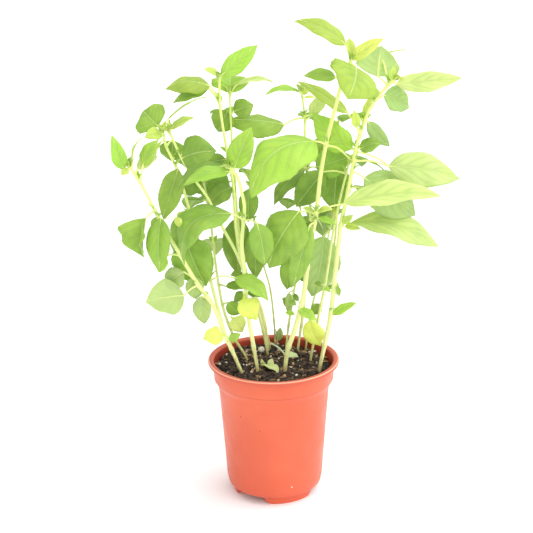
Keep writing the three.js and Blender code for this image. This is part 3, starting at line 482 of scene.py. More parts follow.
PLANTS = {
  "plant_left_forked": [
    shoot(4.4, "bywbwpupwuuubb", [[-30, -21, 108], [-31, -22, 132], [-35, -22, 143],
      [-48, -23, 177], [-58, -25, 205], [-71, -27, 226], [-87, -28, 256], [-104, -29, 289],
      [-110, -29, 302], [-122, -28, 327], [-130, -28, 341]], [
      (340, [-7, -1, 0], [-9, -4, 33], 15, [0.2, -1, 0.1], 3, 15),
      (340, [-3, -2, 1], [-6, -5, -5], 8, [-0.3, -1, 0.4], 1, 5),
      (340, [1, 1, 6], [12, 3, 25], 9, [-0.9, 0.1, 0.4], 4, 20),
      (327, [3, 2, 16], [14, 6, 23], 16, [-0.5, -0.8, 0.3], 2, 10),
      (335, [2, 4, 4], [19, 8, 11], 14, [0, -0.6, 0.8], 2, 10),
      (300, [-9, -3, -6], [-4, -5, -37], 54, [-0.75, -0.65, 0], 1, 45),
      (298, [1, 6, -5], [-3, 4, -16], 12, [0, -1, 0.2], 2, 10),
      (292, [2, -7, 3], [-3, -4, -52], 24, [-0.2, -1, 0.1], 3, 12),
      (226, [-14, 2, -11], [-37, 3, -7], 38, [0, 1, 0.1], 3, 6),
      (228, [-13, 7, 9], [-19, 6, -16], 22, [0, -0.9, 0.4], 2, 8),
      (224, [-6, 7, 8], [2, 2, -24], 18, [0.1, -0.9, 0.4], 3, 6),
      (210, [-8, 3, 3], [3, -2, -28], 18, [0, -1, 0.2], 3, 8),
      (256, [-14, 2, -1], [-8, 1, -17], 13, [-0.2, -0.9, 0.4], 2, 10),
      (168, [2, -4, 1], [11, -3, 8], 9, [0, -1, 0.4], 1, 10),
    ]),
    shoot(3.6, "pyyppyppb", [[-48, -23, 177], [-53, -14, 195], [-60, -2, 220], [-74, 11, 266],
      [-92, 14, 333], [-101, 13, 356], [-102, 12, 365]], [
      (364, [-5, 3, 7], [-16, 18, 12], 36, [-0.4, -0.7, 0.55], 2, 10),
      (364, [-1, -2, 1], [-16, -8, -2], 15, [0.1, -0.7, 0.7], 2, 12),
      (358, [-2, -3, 0], [-7, -5, -15], 9, [-0.9, 0.3, 0.3], 2, 10),
      (352, [5, 8, 4], [-2, 4, -22], 25, [0, -1, 0.3], 2, 6),
      (331, [3, -11, 1], [-16, -7, -48], 24, [-0.3, -1, 0.1], 4, 12),
      (286, [-6, -8, 4], [-4, -4, -9], 8, [0, -1, 0.4], 1, 10),
      (283, [-10, 6, 0], [-6, 4, -46], 20, [-0.2, -0.9, 0.3], 3, 8),
      (338, [1, 8, 1], [8, 34, -16], 28, [0.2, 0.4, 0.9], 4, 8),
      (222, [24, -26, 11], [33, -8, -20], 22, [0.3, -0.5, 0.8], 5, 10),
    ]),
  ],
  "plant_left_back": [
    shoot(3.4, "dddppu", [[-25, 10, 108], [-26, 11, 132], [-39, 14, 156], [-50, 17, 189],
      [-54, 20, 214], [-62, 27, 289], [-66, 28, 314]], [
      (313, [-3, 2, 1], [-24, -4, -10], 24, [0, -0.8, 0.6], 3, 8),
      (313, [4, 3, 1], [22, 1, -12], 24, [0, -0.8, 0.6], 3, 8),
      (210, [7, 4, -3], [19, 4, -3], 12, [0, -0.5, 0.85], 2, 10),
      (190, [5, 3, 1], [12, 4, -14], 15, [0, -0.9, 0.4], 2, 8),
      (292, [-4, 8, 1], [-18, 34, -18], 32, [-0.2, 0.5, 0.9], 5, 8),
      (250, [-1, 13, 1], [2, 34, -24], 26, [0, 0.6, 0.8], 5, 8),
    ]),
  ],
  "plant_front_thick": [
    shoot(5, "bbdppd", [[-16, -14, 108], [-16, -15, 132], [-19, -16, 155], [-26, -18, 207],
      [-27, -20, 236], [-29, -22, 266], [-27, -24, 288], [-26, -26, 304], [-28, -28, 316],
      [-32, -31, 332], [-38, -33, 341]], [
      (340, [3, -1, 1], [16, -4, 39], 24, [-0.1, -1, 0.2], 3, 14),
      (339, [-2, -2, -1], [-43, -10, -9], 17, [0.1, -0.55, 0.8], 6, 10),
      (339, [-6, 4, 2], [-46, 4, -22], 15, [-0.3, -0.35, 0.9], 12, 14),
      (288, [-11, -6, 9], [-47, -9, -45], 50, [-0.65, -0.42, 0.65], 23, 8),
      (288, [13, -19, 3], [7, 3, -43], 24, [0.1, -0.95, 0.3], 3, 4),
      (214, [1, 6, -2], [16, 2, -4], 12, [0, -0.3, 0.95], 2, 6),
    ]),
  ],
  "plant_leaning_left": [
    shoot(3.4, "wypp", [[-5, 29, 108], [-6, 28, 132], [-16, 24, 184], [-27, 20, 219],
      [-32, 18, 235], [-51, 10, 278], [-61, 8, 301], [-77, 4, 327], [-86, 0, 346], [-91, -3, 359],
      [-95, -5, 369]], [
      (368, [-2, 2, 13], [40, 6, 22], 14, [-0.45, 0.18, 0.87], 3, 8),
      (368, [1, -2, 5], [22, -4, 12], 12, [-0.3, -0.5, 0.8], 2, 12),
      (344, [1, -4, 0], [32, -8, 9], 36, [-0.35, -0.85, 0.4], 3, 10),
      (279, [-32, -14, -13], [19, -8, -47], 42, [-0.1, -1, 0.15], 3, 12),
    ]),
  ],
  "plant_centre_left": [
    shoot(3.6, "bympdd", [[-4, 36, 108], [-5, 35, 132], [-12, 32, 180], [-28, 27, 220],
      [-35, 23, 264], [-38, 19, 320], [-43, 17, 350], [-48, 14, 393], [-48, 13, 414]], [
      (413, [2, -2, 6], [34, 3, 28], 20, [-0.2, -0.9, 0.35], 2, 8),
      (413, [-1, -1, 7], [-13, -2, 6], 9, [0.2, -0.6, 0.8], 1, 12),
      (393, [-9, 4, 15], [-43, 4, -2], 24, [0, -0.6, 0.8], 8, -18),
      (390, [-11, 9, 15], [-35, 2, -13], 18, [0, -0.5, 0.85], 3, 8),
      (342, [-2, 9, -7], [-35, 2, -12], 26, [-0.1, -0.5, 0.85], 4, 8),
      (300, [-2, 1, 9], [-23, -3, -18], 22, [-0.3, -0.8, 0.5], 4, 8),
    ]),
  ],
  "plant_centre_right": [
    shoot(3, "bwppdppd", [[-2, 44, 108], [-3, 43, 132], [-15, 39, 177], [-31, 34, 241],
      [-34, 32, 277], [-36, 31, 317], [-38, 30, 356], [-39, 28, 399]], [
      (398, [0, 1, 1], [1, 22, 14], 37, [0, -0.5, 0.87], 2, 15),
      (397, [7, -2, 11], [36, 2, 2], 11, [-0.2, -0.3, 0.93], 5, 10),
      (381, [-3, 5, 0], [-10, 6, -22], 24, [0, -0.9, 0.4], 2, 6),
      (378, [3, 6, 2], [19, 4, 6], 20, [0, -0.9, 0.4], 2, 6),
      (272, [0, 6, 2], [-1, 4, -62], 28, [0, -1, 0.2], 3, 6),
      (377, [-2, 8, 2], [-10, 32, -10], 28, [-0.2, 0.3, 1], 4, 8),
      (330, [0, 9, 1], [-9, 36, -20], 30, [-0.1, 0.5, 0.9], 5, 8),
      (312, [-9, 17, -7], [-37, 4, -7], 30, [-0.1, -0.5, 0.85], 4, 8),
    ]),
  ],
  "plant_back_thin": [
    shoot(2.6, "ddppu", [[2, 50, 110], [2, 52, 120], [2, 55, 132], [0, 55, 172], [-3, 54, 196],
      [-9, 51, 220], [-18, 46, 270], [-20, 45, 294], [-22, 44, 312]], [
      (300, [-1, -3, 2], [-2, -3, -34], 20, [0, -0.95, 0.3], 3, 8),
      (268, [1, -15, -3], [0, -3, -53], 22, [0, -1, 0.3], 3, 8),
      (311, [2, 6, 2], [8, 38, -14], 32, [0.2, 0.4, 1], 5, 8),
      (246, [-3, 7, 1], [-16, 34, -22], 32, [-0.2, 0.6, 0.8], 5, 8),
      (136, [4, -1, 1], [2, 1, 14], 8, [0, -1, 0.1], 1, 5),
    ]),
  ],
  "plant_middle_short": [
    shoot(3.2, "ppp", [[12, 40, 108], [13, 40, 132], [18, 42, 174], [25, 42, 217], [29, 42, 254],
      [28, 41, 285]], [
      (236, [-7, -8, -2], [-6, -4, -34], 20, [0, -1, 0.3], 3, 8),
      (178, [0, -1, 1], [-9, -2, 10], 10, [0, -0.9, 0.4], 1, 10),
      (283, [-4, 7, 2], [-8, 36, -14], 30, [0, 0.4, 0.9], 5, 8),
    ]),
  ],
  "plant_back_tall": [
    shoot(3.2, "byypwpddppp", [[24, 36, 108], [25, 37, 132], [30, 40, 168], [36, 46, 237],
      [38, 49, 285], [35, 50, 317], [33, 51, 357], [33, 51, 370], [30, 51, 395]], [
      (394, [-2, -1, 2], [-34, -6, -1], 12, [0.1, -0.3, 0.95], 5, 10),
      (394, [1, -1, -1], [8, -2, 10], 6, [0, -0.9, 0.4], 1, 15),
      (390, [2, 0, 0], [11, -2, 0], 6, [0, -0.3, 0.95], 1, 10),
      (370, [-20, -6, -5], [-56, -6, 7], 34, [0, -0.5, 0.85], 2, -20),
      (371, [5, -2, 2], [19, -4, 21], 15, [-0.5, -0.8, 0.3], 2, 12),
      (318, [8, -18, 7], [34, -6, 12], 30, [-0.2, -0.95, 0.25], 3, 8),
      (324, [-2, -5, -3], [-32, -8, -34], 26, [-0.5, -0.4, 0.7], 4, 8),
      (262, [-3, 5, 2], [-8, 3, -30], 22, [0, -1, 0.3], 3, 8),
      (366, [4, 7, 2], [12, 36, -12], 30, [0.2, 0.3, 1], 4, 8),
      (317, [-4, 8, 2], [-22, 40, -22], 36, [-0.2, 0.5, 0.9], 5, 8),
      (268, [5, 8, 1], [12, 34, -30], 34, [0.2, 0.7, 0.7], 4, 8),
    ]),
  ],
  "plant_tallest": [
    shoot(5, "myympbpwppyybb", [[10, -15, 108], [11, -16, 132], [14, -17, 155], [20, -18, 174],
      [29, -19, 210], [34, -20, 250], [38, -21, 275], [41, -22, 293], [46, -24, 337],
      [50, -25, 360], [59, -27, 397], [63, -28, 414], [72, -30, 438]], [
      (437, [-4, 1, 15], [-46, 3, 23], 21, [0.3, -0.65, 0.7], 7, 8),
      (437, [1, -1, 2], [28, -4, 20], 14, [-0.3, -0.8, 0.5], 2, 14),
      (437, [2, 4, 8], [-3, 6, 12], 9, [0, -1, 0], 1, 10),
      (436, [5, -4, -3], [-8, -28, -23], 54, [0.55, -0.6, 0.6], 4, 8),
      (424, [-8, 4, -2], [-29, 4, 2], 15, [0.1, -0.7, 0.7], 2, 10),
      (360, [-10, -6, 5], [-61, -20, -46], 60, [-0.45, -0.55, 0.7], 21, -10),
      (360, [24, 30, -20], [36, 6, -14], 14, [0.3, 0.2, 0.9], 3, 10),
      (293, [27, -7, 12], [88, -8, 11], 34, [-0.1, -0.5, 0.85], 5, 22),
      (293, [-16, -4, 4], [-30, -4, -54], 48, [-0.45, -0.8, 0.35], 8, -5),
      (284, [-5, -12, 1], [-17, -4, -61], 22, [0.3, -0.9, 0.3], 5, 8),
      (294, [-2, -3, 2], [-11, -2, 5], 6, [0, -0.6, 0.8], 1, 15),
      (294, [2, -2, 2], [13, -3, 3], 8, [0, -0.6, 0.8], 2, 15),
      (292, [2, -4, -2], [17, -4, -5], 8, [0, -0.6, 0.8], 2, 15),
      (196, [-1, -3, 2], [17, -7, -9], 11, [0.1, -0.7, 0.7], 2, 10),
    ]),
  ],
  "plant_right_middle": [
    shoot(3.4, "dp", [[36, 8, 108], [37, 9, 132], [44, 11, 172], [51, 13, 209], [63, 16, 285],
      [74, 18, 331]], [
      (322, [-22, 4, 1], [-27, 4, -36], 28, [0, -0.9, 0.4], 3, 8),
      (190, [-2, 2, 1], [-6, 4, -13], 12, [0, -0.9, 0.4], 1, 8),
    ]),
  ],
  "plant_right_short": [
    shoot(2.8, "u", [[31, 36, 110], [33, 39, 132], [39, 42, 174], [49, 40, 218], [55, 38, 250],
      [60, 36, 273]], [
      (260, [-6, -1, -6], [-12, -6, -62], 40, [0.1, -1, 0.1], 4, 8),
    ]),
  ],
  "plant_right_back": [
    shoot(3, "pdpp", [[37, 34, 110], [40, 38, 132], [47, 42, 172], [60, 46, 224], [65, 49, 273],
      [66, 50, 318], [63, 50, 358]], [
      (345, [-4, -4, 0], [-21, -6, -15], 28, [0, -0.9, 0.4], 2, 6),
      (318, [-1, -5, 4], [-3, -4, -44], 33, [0, -1, 0.2], 3, 8),
      (325, [5, 6, 2], [22, 34, -14], 32, [0.3, 0.4, 1], 5, 8),
      (273, [-3, 9, 1], [-10, 36, -26], 34, [-0.1, 0.6, 0.8], 5, 8),
    ]),
  ],
  "plant_right_thick": [
    shoot(4.6, "wywwuyumypbwwuyywwbpp", [[44, -13, 108], [45, -14, 132], [50, -13, 158],
      [56, -12, 190], [59, -11, 221], [63, -10, 259], [65, -9, 278], [70, -8, 302], [76, -7, 333],
      [79, -6, 351], [84, -5, 369], [93, -4, 391], [107, -3, 409], [113, -3, 415]], [
      (414, [4, -1, -2], [60, -4, 7], 22, [-0.1, -0.75, 0.65], 0, 8),
      (414, [-1, -1, 2], [2, -2, 13], 8, [0.3, -0.9, 0.2], 1, 20),
      (410, [-9, 4, 8], [4, 14, 26], 42, [0, 0.9, 0.4], 2, 10),
      (411, [-6, 22, 25], [30, 2, 4], 8, [0, 0.2, 1], 1, 10),
      (392, [11, 3, 9], [25, 5, -13], 28, [0.2, -0.8, 0.55], 2, 16),
      (378, [-3, 4, 2], [12, 4, 25], 9, [-0.8, -0.5, 0.2], 1, 8),
      (377, [3, 5, -1], [22, 6, -26], 14, [-0.3, -0.9, 0.3], 2, 8),
      (366, [-12, -4, 20], [-46, 4, 31], 16, [0.4, -0.6, 0.7], 2, 8),
      (364, [-3, -2, 8], [-3, -2, 17], 9, [0, -1, 0.2], 1, 18),
      (352, [3, -2, 0], [20, -5, 7], 15, [-0.2, -0.8, 0.5], 2, 10),
      (351, [-3, 6, -1], [-38, 12, 32], 33, [-0.4, -0.8, -0.3], 3, 8),
      (340, [33, 3, -6], [68, 4, -13], 35, [0, -0.8, 0.6], 4, 8),
      (349.5, [42, 20, -27], [61, 2, -5], 26, [0.1, -0.75, 0.65], 3, 8),
      (330, [12, 3, -7], [52, 10, -40], 44, [0.2, -0.85, 0.45], 4, 8),
      (279, [2, -3, 2], [9, -4, 9], 8, [0, -0.9, 0.4], 1, 15),
      (278, [4, -3, 0], [15, -3, -2], 9, [0, -0.6, 0.8], 2, 12),
      (278, [10, 2, 2], [86, 2, -24], 36, [0, -0.15, 1], 9, 10, 42),
      (222, [2, 1, 0], [1, 2, -15], 6, [0.3, -0.9, 0.2], 1, 8),
      (190, [1, -2, 0], [23, -5, 14], 12, [-0.3, -0.5, 0.8], 1, 12),
      (376, [-3, 8, 2], [-16, 32, -8], 28, [-0.2, 0.3, 1], 4, 8),
      (312, [11, 9, 1], [19, 34, -24], 27, [0.2, 0.6, 0.8], 5, 8),
    ]),
  ],
}


# ---- Stems ----
# Pale green stems, four-edged with a shallow groove on each side, a little swollen at the nodes,
# and thinner, browner and streaked near the soil. A leaf's stalk grows out of a node and runs on as
# the rib under the blade.

# How thick a stem's tip is as a share of its foot, how much thinner it gets down in the soil, and
# the height in mm from where and the length over which it does.
STEM_TIP_SHARE = 0.55
STEM_FOOT_LOSS = 0.30
STEM_FOOT_TOP = 166
STEM_FOOT_LENGTH = 32
# The lowest node's height and the usual gap between nodes in mm, and from what length on a blade
# and its stalk are modelled as large.
LOWEST_NODE = 158
NODE_GAP = 48
LARGE_BLADE = 17
# How much darker and greener than the rest the stems of a plant are: painted shade on stems at the
# back, with the greener tone of thin ones.
STEM_SHADE_AND_GREEN = {"plant_left_back": 0.40, "plant_centre_right": 0.32, "plant_back_thin": 0.3,
              "plant_middle_short": 0.22, "plant_right_short": 0.2, "plant_right_middle": 0.12,
              "plant_leaning_left": 0.12, "plant_back_tall": 0.06, "plant_right_back": 0.1}


def smooth_line(points, step):
    """Points about a step apart on a smooth line through the given points, with their place
    in the list of given points."""
    spans = [(end - start).length for start, end in zip(points, points[1:])]
    slopes = [(points[1] - points[0]) / spans[0]]
    for before, middle, after, left, right in zip(points, points[1:], points[2:], spans, spans[1:]):
        slopes.append(((middle - before) / left * right + (after - middle) / right * left)
                      / (left + right))
    slopes.append((points[-1] - points[-2]) / spans[-1])
    line = []
    for number, span in enumerate(spans):
        start, end = points[number], points[number + 1]
        count = max(2, round(span / step))
        for part in range(count):
            t = part / count
            line.append((start * (2 * t ** 3 - 3 * t ** 2 + 1) + end * (3 * t ** 2 - 2 * t ** 3)
                         + slopes[number] * span * (t ** 3 - 2 * t ** 2 + t)
                         + slopes[number + 1] * span * (t ** 3 - t ** 2), number + t))
    line.append((points[-1], len(spans)))
    return line


def point_at_height(points, height):
    """The point of a stem at a height, or its tip."""
    for low, high in zip(points, points[1:]):
        if height <= high.z:
            return low.lerp(high, (height - low.z) / (high.z - low.z))
    return points[-1].copy()


def stem_profile(name, dent, power):
    """The outline that a stem or stalk is drawn with, 1 m in radius: round where the power is 2,
    and four-edged with dented sides where it is more."""
    bpy.ops.curve.primitive_bezier_circle_add()
    outline = just_made(name)
    outline.data.splines.clear()
    ring = outline.data.splines.new("POLY")
    ring.points.add(15)
    ring.use_cyclic_u = True
    for number, point in enumerate(ring.points):
        angle = 2 * math.pi * number / 16
        cosine, sine = abs(math.cos(angle)), abs(math.sin(angle))
        radius = (cosine ** power + sine ** power) ** (-1 / power)
        radius *= 1 - dent * math.cos(2 * angle) ** 4
        point.co = (radius * math.cos(angle), radius * math.sin(angle), 0, 1)
    return outline


def drawn_tubes(name, lines, outline):
    """Tubes with closed ends along lines of (point, radius) in mm, as one mesh."""
    bpy.ops.curve.primitive_bezier_curve_add()
    tubes = just_made(name)
    tubes.data.splines.clear()
    tubes.data.bevel_mode = "OBJECT"
    tubes.data.bevel_object = outline
    tubes.data.use_fill_caps = True
    for line in lines:
        spline = tubes.data.splines.new("POLY")
        spline.points.add(len(line) - 1)
        for point, (place, radius) in zip(spline.points, line):
            point.co = (*(place * MM), 1)
            point.radius = radius * MM
    select_only(tubes)
    bpy.ops.object.transform_apply()
    bpy.ops.object.convert(target="MESH")
    mode("EDIT")
    bpy.ops.mesh.select_all(action="SELECT")
    bpy.ops.mesh.remove_doubles(threshold=0.000002)
    bpy.ops.mesh.normals_make_consistent(inside=False)
    mode("OBJECT")
    bpy.ops.object.shade_smooth_by_angle(angle=math.radians(60))
    return tubes


def node_heights(row):
    """Where the nodes of a stem are: at its leaves, and in the bare lengths between them."""
    heights = []
    for height in sorted(item["at"] for item in row["leaves"]):
        if not heights or height - heights[-1] > 7:
            heights.append(height)
    low = 150
    spaced = []
    for height in heights:
        gaps = max(1, round((height - low) / NODE_GAP))
        spaced += [low + (height - low) * part / gaps for part in range(1, gaps)]
        low = height
    return [LOWEST_NODE] + spaced + heights


def stem_line(row):
    """A stem's centre line with its radii, thicker at the nodes and thinner at the soil."""
    points = row["path"]
    heights = node_heights(row)
    line = []
    for place, index in smooth_line(points, 1.3):
        radius = row["thick"] / 2 * (1 + (STEM_TIP_SHARE - 1) * index / (len(points) - 1))
        knobs = sum(math.exp(-((place.z - height) / 2.2) ** 2) for height in heights)
        low = min(1, max(0, (STEM_FOOT_TOP - place.z) / STEM_FOOT_LENGTH))
        radius *= 1 - STEM_FOOT_LOSS * low
        line.append((place, radius * (0.98 + 0.22 * min(knobs, 1.2))))
    return line


def blade_frame(row, root):
    """A blade's foot, its way along, and its upper normal and side as they are at its foot."""
    along = row["blade"].normalized()
    normal = (row["face"] - along * row["face"].dot(along)).normalized()
    return root + row["stalk"], along, normal, along.cross(normal)


def blade_middle(row, root, share):
    """A point of the midrib, and the upper normal there."""
    foot, along, normal, _ = blade_frame(row, root)
    turned = Matrix.Rotation(math.radians(row["twist"]) * share, 3, along) @ normal
    return foot + row["blade"] * share + turned * (row["bow"] * 4 * share * (1 - share)), turned


def stalk_line(row, root):
    """A leaf's stalk from the middle of the stem to the blade, and on as the rib under it."""
    large = row["blade"].length > LARGE_BLADE
    thick = 0.95 if large else 0.55
    foot, _, normal, _ = blade_frame(row, root)
    halfway = root.lerp(foot, 0.5) + Vector((0, 0, 0.08 * row["stalk"].length))
    line = []
    given = [root, halfway, foot] if row["stalk"].length > 5 else [root, foot]
    for place, index in smooth_line(given, 1.6):
        share = index / (len(given) - 1)
        flare = 0.5 * math.exp(-((place - root).length / 2.4) ** 2)
        line.append((place - normal * 0.35 * share, thick * (1 - 0.18 * share + flare)))
    for part in range(1, 9):
        share = 0.92 * part / 8
        place, turned = blade_middle(row, root, share)
        rib = thick * 0.62 * (1 - share) ** 0.9 + 0.08
        line.append((place - turned * (0.3 + 0.3 * rib), rib))
    return line


def painted(tree, name):
    """The value or colour that the mesh carries at each point under a name."""
    return node(tree, "Attribute", {}, attribute_name=name)


four_edged = stem_profile("stem_outline", 0.10, 3.0)
rounded = stem_profile("stalk_outline", 0.0, 2.0)

stem_skin, tree, shader = new_material("stem_skin")
place = object_place(tree)
height = parts_of(tree, place)["Z"]
stretched = node(tree, "Mapping", {"Vector": place, "Scale": (1, 1, 0.06)})["Vector"]
streaks = speckle(tree, stretched, 900, 3, 0.6)
colour = mix(tree, ramp(tree, height, 0.16, 0.40), (0.76, 0.81, 0.32, 1), (0.79, 0.89, 0.25, 1))
colour = mix(tree, ramp(tree, streaks, 0.35, 0.75, 0.0, 0.45), colour, (0.82, 0.87, 0.46, 1))
# Painted shade with a greener tone: the stems of the plants at the back darker green.
colour = mix(tree, painted(tree, "green")["Fac"], colour, (0.36, 0.52, 0.10, 1))
low_streaks = times(tree, ramp(tree, streaks, 0.42, 0.62), ramp(tree, height, 0.172, 0.138))
colour = mix(tree, times(tree, low_streaks, 0.65), colour, (0.42, 0.27, 0.14, 1))
colour = mix(tree, ramp(tree, height, 0.142, 0.131, 0.0, 0.6), colour, (0.30, 0.20, 0.10, 1))
ring = times(tree, ramp(tree, painted(tree, "knob")["Fac"], 0.35, 0.95), 0.55)
colour = mix(tree, ring, colour, (0.52, 0.60, 0.16, 1))
feed(tree, shader.inputs["Base Color"], colour)
feed(tree, shader.inputs["Roughness"], ramp(tree, streaks, 0.2, 0.8, 0.38, 0.58))
shader.inputs["Subsurface Weight"].default_value = 0.25
shader.inputs["Subsurface Radius"].default_value = (0.0016, 0.0020, 0.0006)
bump(tree, shader, streaks, 0.35, 0.0004)


# ---- Leaves ----
# Thin soft basil blades: a fine pale midrib, five pairs of faint side veins that run far up to the
# tip, the skin puffed up between them, faintly toothed edges that roll down, and a paler
# underside. Young ones in the axils and tips are small, folded and yellower.
BLADE_THICKNESS = 0.42
SIDE_VEINS = 5
VEIN_LEAN = 0.42
LEAFLETS_FROM = 26
BLADE_OUTLINE = [(0, 0.03), (0.03, 0.26), (0.07, 0.47), (0.12, 0.65), (0.19, 0.83), (0.27, 0.95),
                 (0.36, 1.0), (0.46, 0.99), (0.56, 0.93), (0.66, 0.82), (0.75, 0.67), (0.83, 0.49),
                 (0.89, 0.33), (0.94, 0.18), (0.975, 0.08), (1, 0.01)]
VEIN_MASKS = ("Side veins", "Groove shade", "Midrib", "Net")

tree = vein_group = bpy.data.node_groups.new("leaf_veins", "ShaderNodeTree")
tree.interface.new_socket("Place", in_out="INPUT", socket_type="NodeSocketVector")
tree.interface.new_socket("Vein width", in_out="INPUT", socket_type="NodeSocketFloat")
for name in VEIN_MASKS:
    tree.interface.new_socket(name, in_out="OUTPUT", socket_type="NodeSocketFloat")
given = tree.nodes.new("NodeGroupInput").outputs
parts = parts_of(tree, given["Place"])
across = calc(tree, "ABSOLUTE", calc(tree, "MULTIPLY_ADD", parts["Y"], 2.0, -1.0))
lean = times(tree, calc(tree, "POWER", across, 1.25), VEIN_LEAN)
row_place = times(tree, calc(tree, "SUBTRACT", parts["X"], lean), float(SIDE_VEINS))
to_vein = calc(tree, "PINGPONG", row_place, 0.5)
fade = ramp(tree, across, 0.95, 0.6, 0.15, 1.0)
side_veins = times(tree, ramp(tree, to_vein, given["Vein width"], 0.0), fade)
# Painted shade in the grooves beside the side veins and the midrib.
vein_groove_shade = times(tree, ramp(tree, to_vein, 0.26, 0.04), fade)
vein_groove_shade = calc(tree, "MAXIMUM", vein_groove_shade, ramp(tree, across, 0.16, 0.04))
midrib = ramp(tree, across, 0.05, 0.012)
squeezed = node(tree, "Mapping", {"Vector": given["Place"], "Scale": (46, 24, 1)})["Vector"]
cells = dots(tree, squeezed, 1.0, "DISTANCE_TO_EDGE")
net = ramp(tree, cells["Distance"], 0.16, 0.03)
result = tree.nodes.new("NodeGroupOutput")
for name, value in zip(VEIN_MASKS, (side_veins, vein_groove_shade, midrib, net)):
    tree.links.new(value, result.inputs[name])


def leaf_material(name, paler, paler_share, vein_share, vein_shade_share, through, raised):
    """A leaf's skin: the painted colour of the leaf's letter, painted light and shade included, in
    clouds, a paler colour laid over it, paler veins with painted shade in the grooves beside them,
    and the light that comes through from behind. Raised is 1 where the veins stand proud and -1
    where they are sunk."""
    material, tree, shader = new_material(name)
    map_place = node(tree, "UVMap", {})["UV"]
    veins = node(tree, "Group", {"Place": map_place, "Vein width": 0.06}, node_tree=vein_group)
    place = object_place(tree)
    cloud = speckle(tree, place, 70, 3)
    colour = mix(tree, ramp(tree, cloud, 0.3, 0.7, 0.0, 0.30), painted(tree, "shade")["Color"],
                 (0.62, 0.80, 0.16, 1))
    deeper = mix(tree, 1.0, colour, (0.62, 0.72, 0.56, 1), "MULTIPLY")
    # Random mottles of the skin's own tone, and painted shade in the grooves beside the veins.
    depth = calc(tree, "ADD", ramp(tree, speckle(tree, place, 38, 2), 0.45, 0.7, 0.0, 0.45),
                 times(tree, veins["Groove shade"], vein_shade_share))
    colour = mix(tree, calc(tree, "MINIMUM", depth, 1.0), colour, deeper)
    colour = mix(tree, paler_share, colour, paler)
    vein = mix(tree, 0.6, colour, (0.78, 0.90, 0.42, 1))
    for line, share in (("Net", 0.5 * vein_share), ("Side veins", vein_share), ("Midrib", 0.8)):
        colour = mix(tree, times(tree, veins[line], share), colour, vein)
    feed(tree, shader.inputs["Base Color"], colour)
    feed(tree, shader.inputs["Roughness"], ramp(tree, cloud, 0.2, 0.8, 0.36, 0.52))
    shader.inputs["Specular IOR Level"].default_value = 0.45
    height = calc(tree, "ADD", times(tree, veins["Side veins"], 0.8 * raised),
                  times(tree, veins["Net"], 0.35 * raised))
    height = calc(tree, "ADD", height, times(tree, speckle(tree, place, 1600, 2), 0.25))
    bump(tree, shader, height, 0.5, 0.0004)
    glow = mix(tree, 0.35, colour, (0.80, 0.95, 0.16, 1))
    lit = node(tree, "BsdfTranslucent", {"Color": glow})["BSDF"]
    both = node(tree, "MixShader", {0: through, 1: shader.outputs["BSDF"], 2: lit})["Shader"]
    tree.links.new(both, tree.nodes["Material Output"].inputs["Surface"])
    return material


green_upper = leaf_material("green_leaf_upper", (0.50, 0.66, 0.36, 1), paler_share=0.05,
                            vein_share=0.36, vein_shade_share=0.42, through=0.34, raised=-1)
green_under = leaf_material("green_leaf_under", (0.46, 0.60, 0.30, 1), paler_share=0.40,
                            vein_share=0.45, vein_shade_share=0.2, through=0.38, raised=1)

# The shades by their letters, partly the leaves' own tone and partly painted light and shade:
# d deep green, painted shade; p plain; m mellow; b bright, painted light; y young and lime
# yellow; w pale, painted light coming through the leaf; u dull and greyish, a painted sheen.
SHADES = {"d": (0.165, 0.350, 0.016), "p": (0.270, 0.490, 0.036), "b": (0.435, 0.740, 0.060),
          "y": (0.790, 0.900, 0.190), "w": (0.700, 0.830, 0.340), "u": (0.470, 0.650, 0.250),
          "m": (0.400, 0.550, 0.055)}

# Small late leaves on the bare lengths of the stems, with their shades.
SMALL_LEAVES = {
    "plant_left_forked": [("y", 290, [16, -12, 7], [3, -2, -9], 8, [0, -0.9, 0.4], 2, 20)],
    "plant_middle_short": [
        ("d", 262, [3, -4, 3], [8, -3, 3], 7, [0, -0.7, 0.7], 2, 15),
        ("d", 266, [-3, -4, 2], [-6, -2, 5], 6, [0, -0.7, 0.7], 2, 15),
        ("p", 270, [1, -5, 3], [7, -3, -5], 6, [0, -0.8, 0.6], 2, 15),
        ("d", 206, [-4, -5, 2], [-7, -3, 1], 6, [0, -0.7, 0.7], 2, 18),
        ("d", 208, [4, -5, 2], [7, -3, -3], 6, [0, -0.7, 0.7], 2, 18),
        ("u", 195, [-5, -5, 0], [-1, -2, -22], 9, [0, -1, 0.2], 2, 15),
    ],
    "plant_centre_left": [
        ("d", 214, [-3, -6, 4], [-13, -5, 3], 12, [0, -0.6, 0.8], 3, 15),
        ("d", 198, [-7, -6, 0], [-13, -3, -6], 12, [0, -0.7, 0.7], 3, 12),
        ("p", 202, [5, -5, 3], [8, -3, -3], 8, [0, -0.8, 0.6], 2, 15),
    ],
    "plant_tallest": [
        ("p", 198, [-4, 4, 2], [-7, 4, 3], 6, [0, -0.7, 0.7], 2, 18),
        ("d", 200, [-2, 5, 4], [-4, 5, 6], 6, [-0.3, -0.9, 0.3], 2, 18),
        ("b", 188, [-3, 3, 3], [-9, 2, 1], 6, [0, -0.7, 0.7], 2, 15),
    ],
    "plant_right_middle": [
        ("d", 211, [-4, -4, 1], [-7, -3, 3], 6, [0, -0.7, 0.7], 2, 18),
        ("p", 208, [3, -4, 2], [7, -3, -1], 6, [0, -0.7, 0.7], 2, 18),
    ],
    "plant_right_thick": [
        ("p", 217, [3, -3, 2], [2, -3, -10], 5, [0.3, -0.9, 0.2], 1, 15),
        ("b", 212, [-3, -3, 2], [-7, -3, 3], 6, [0, -0.7, 0.7], 2, 15),
    ],
}


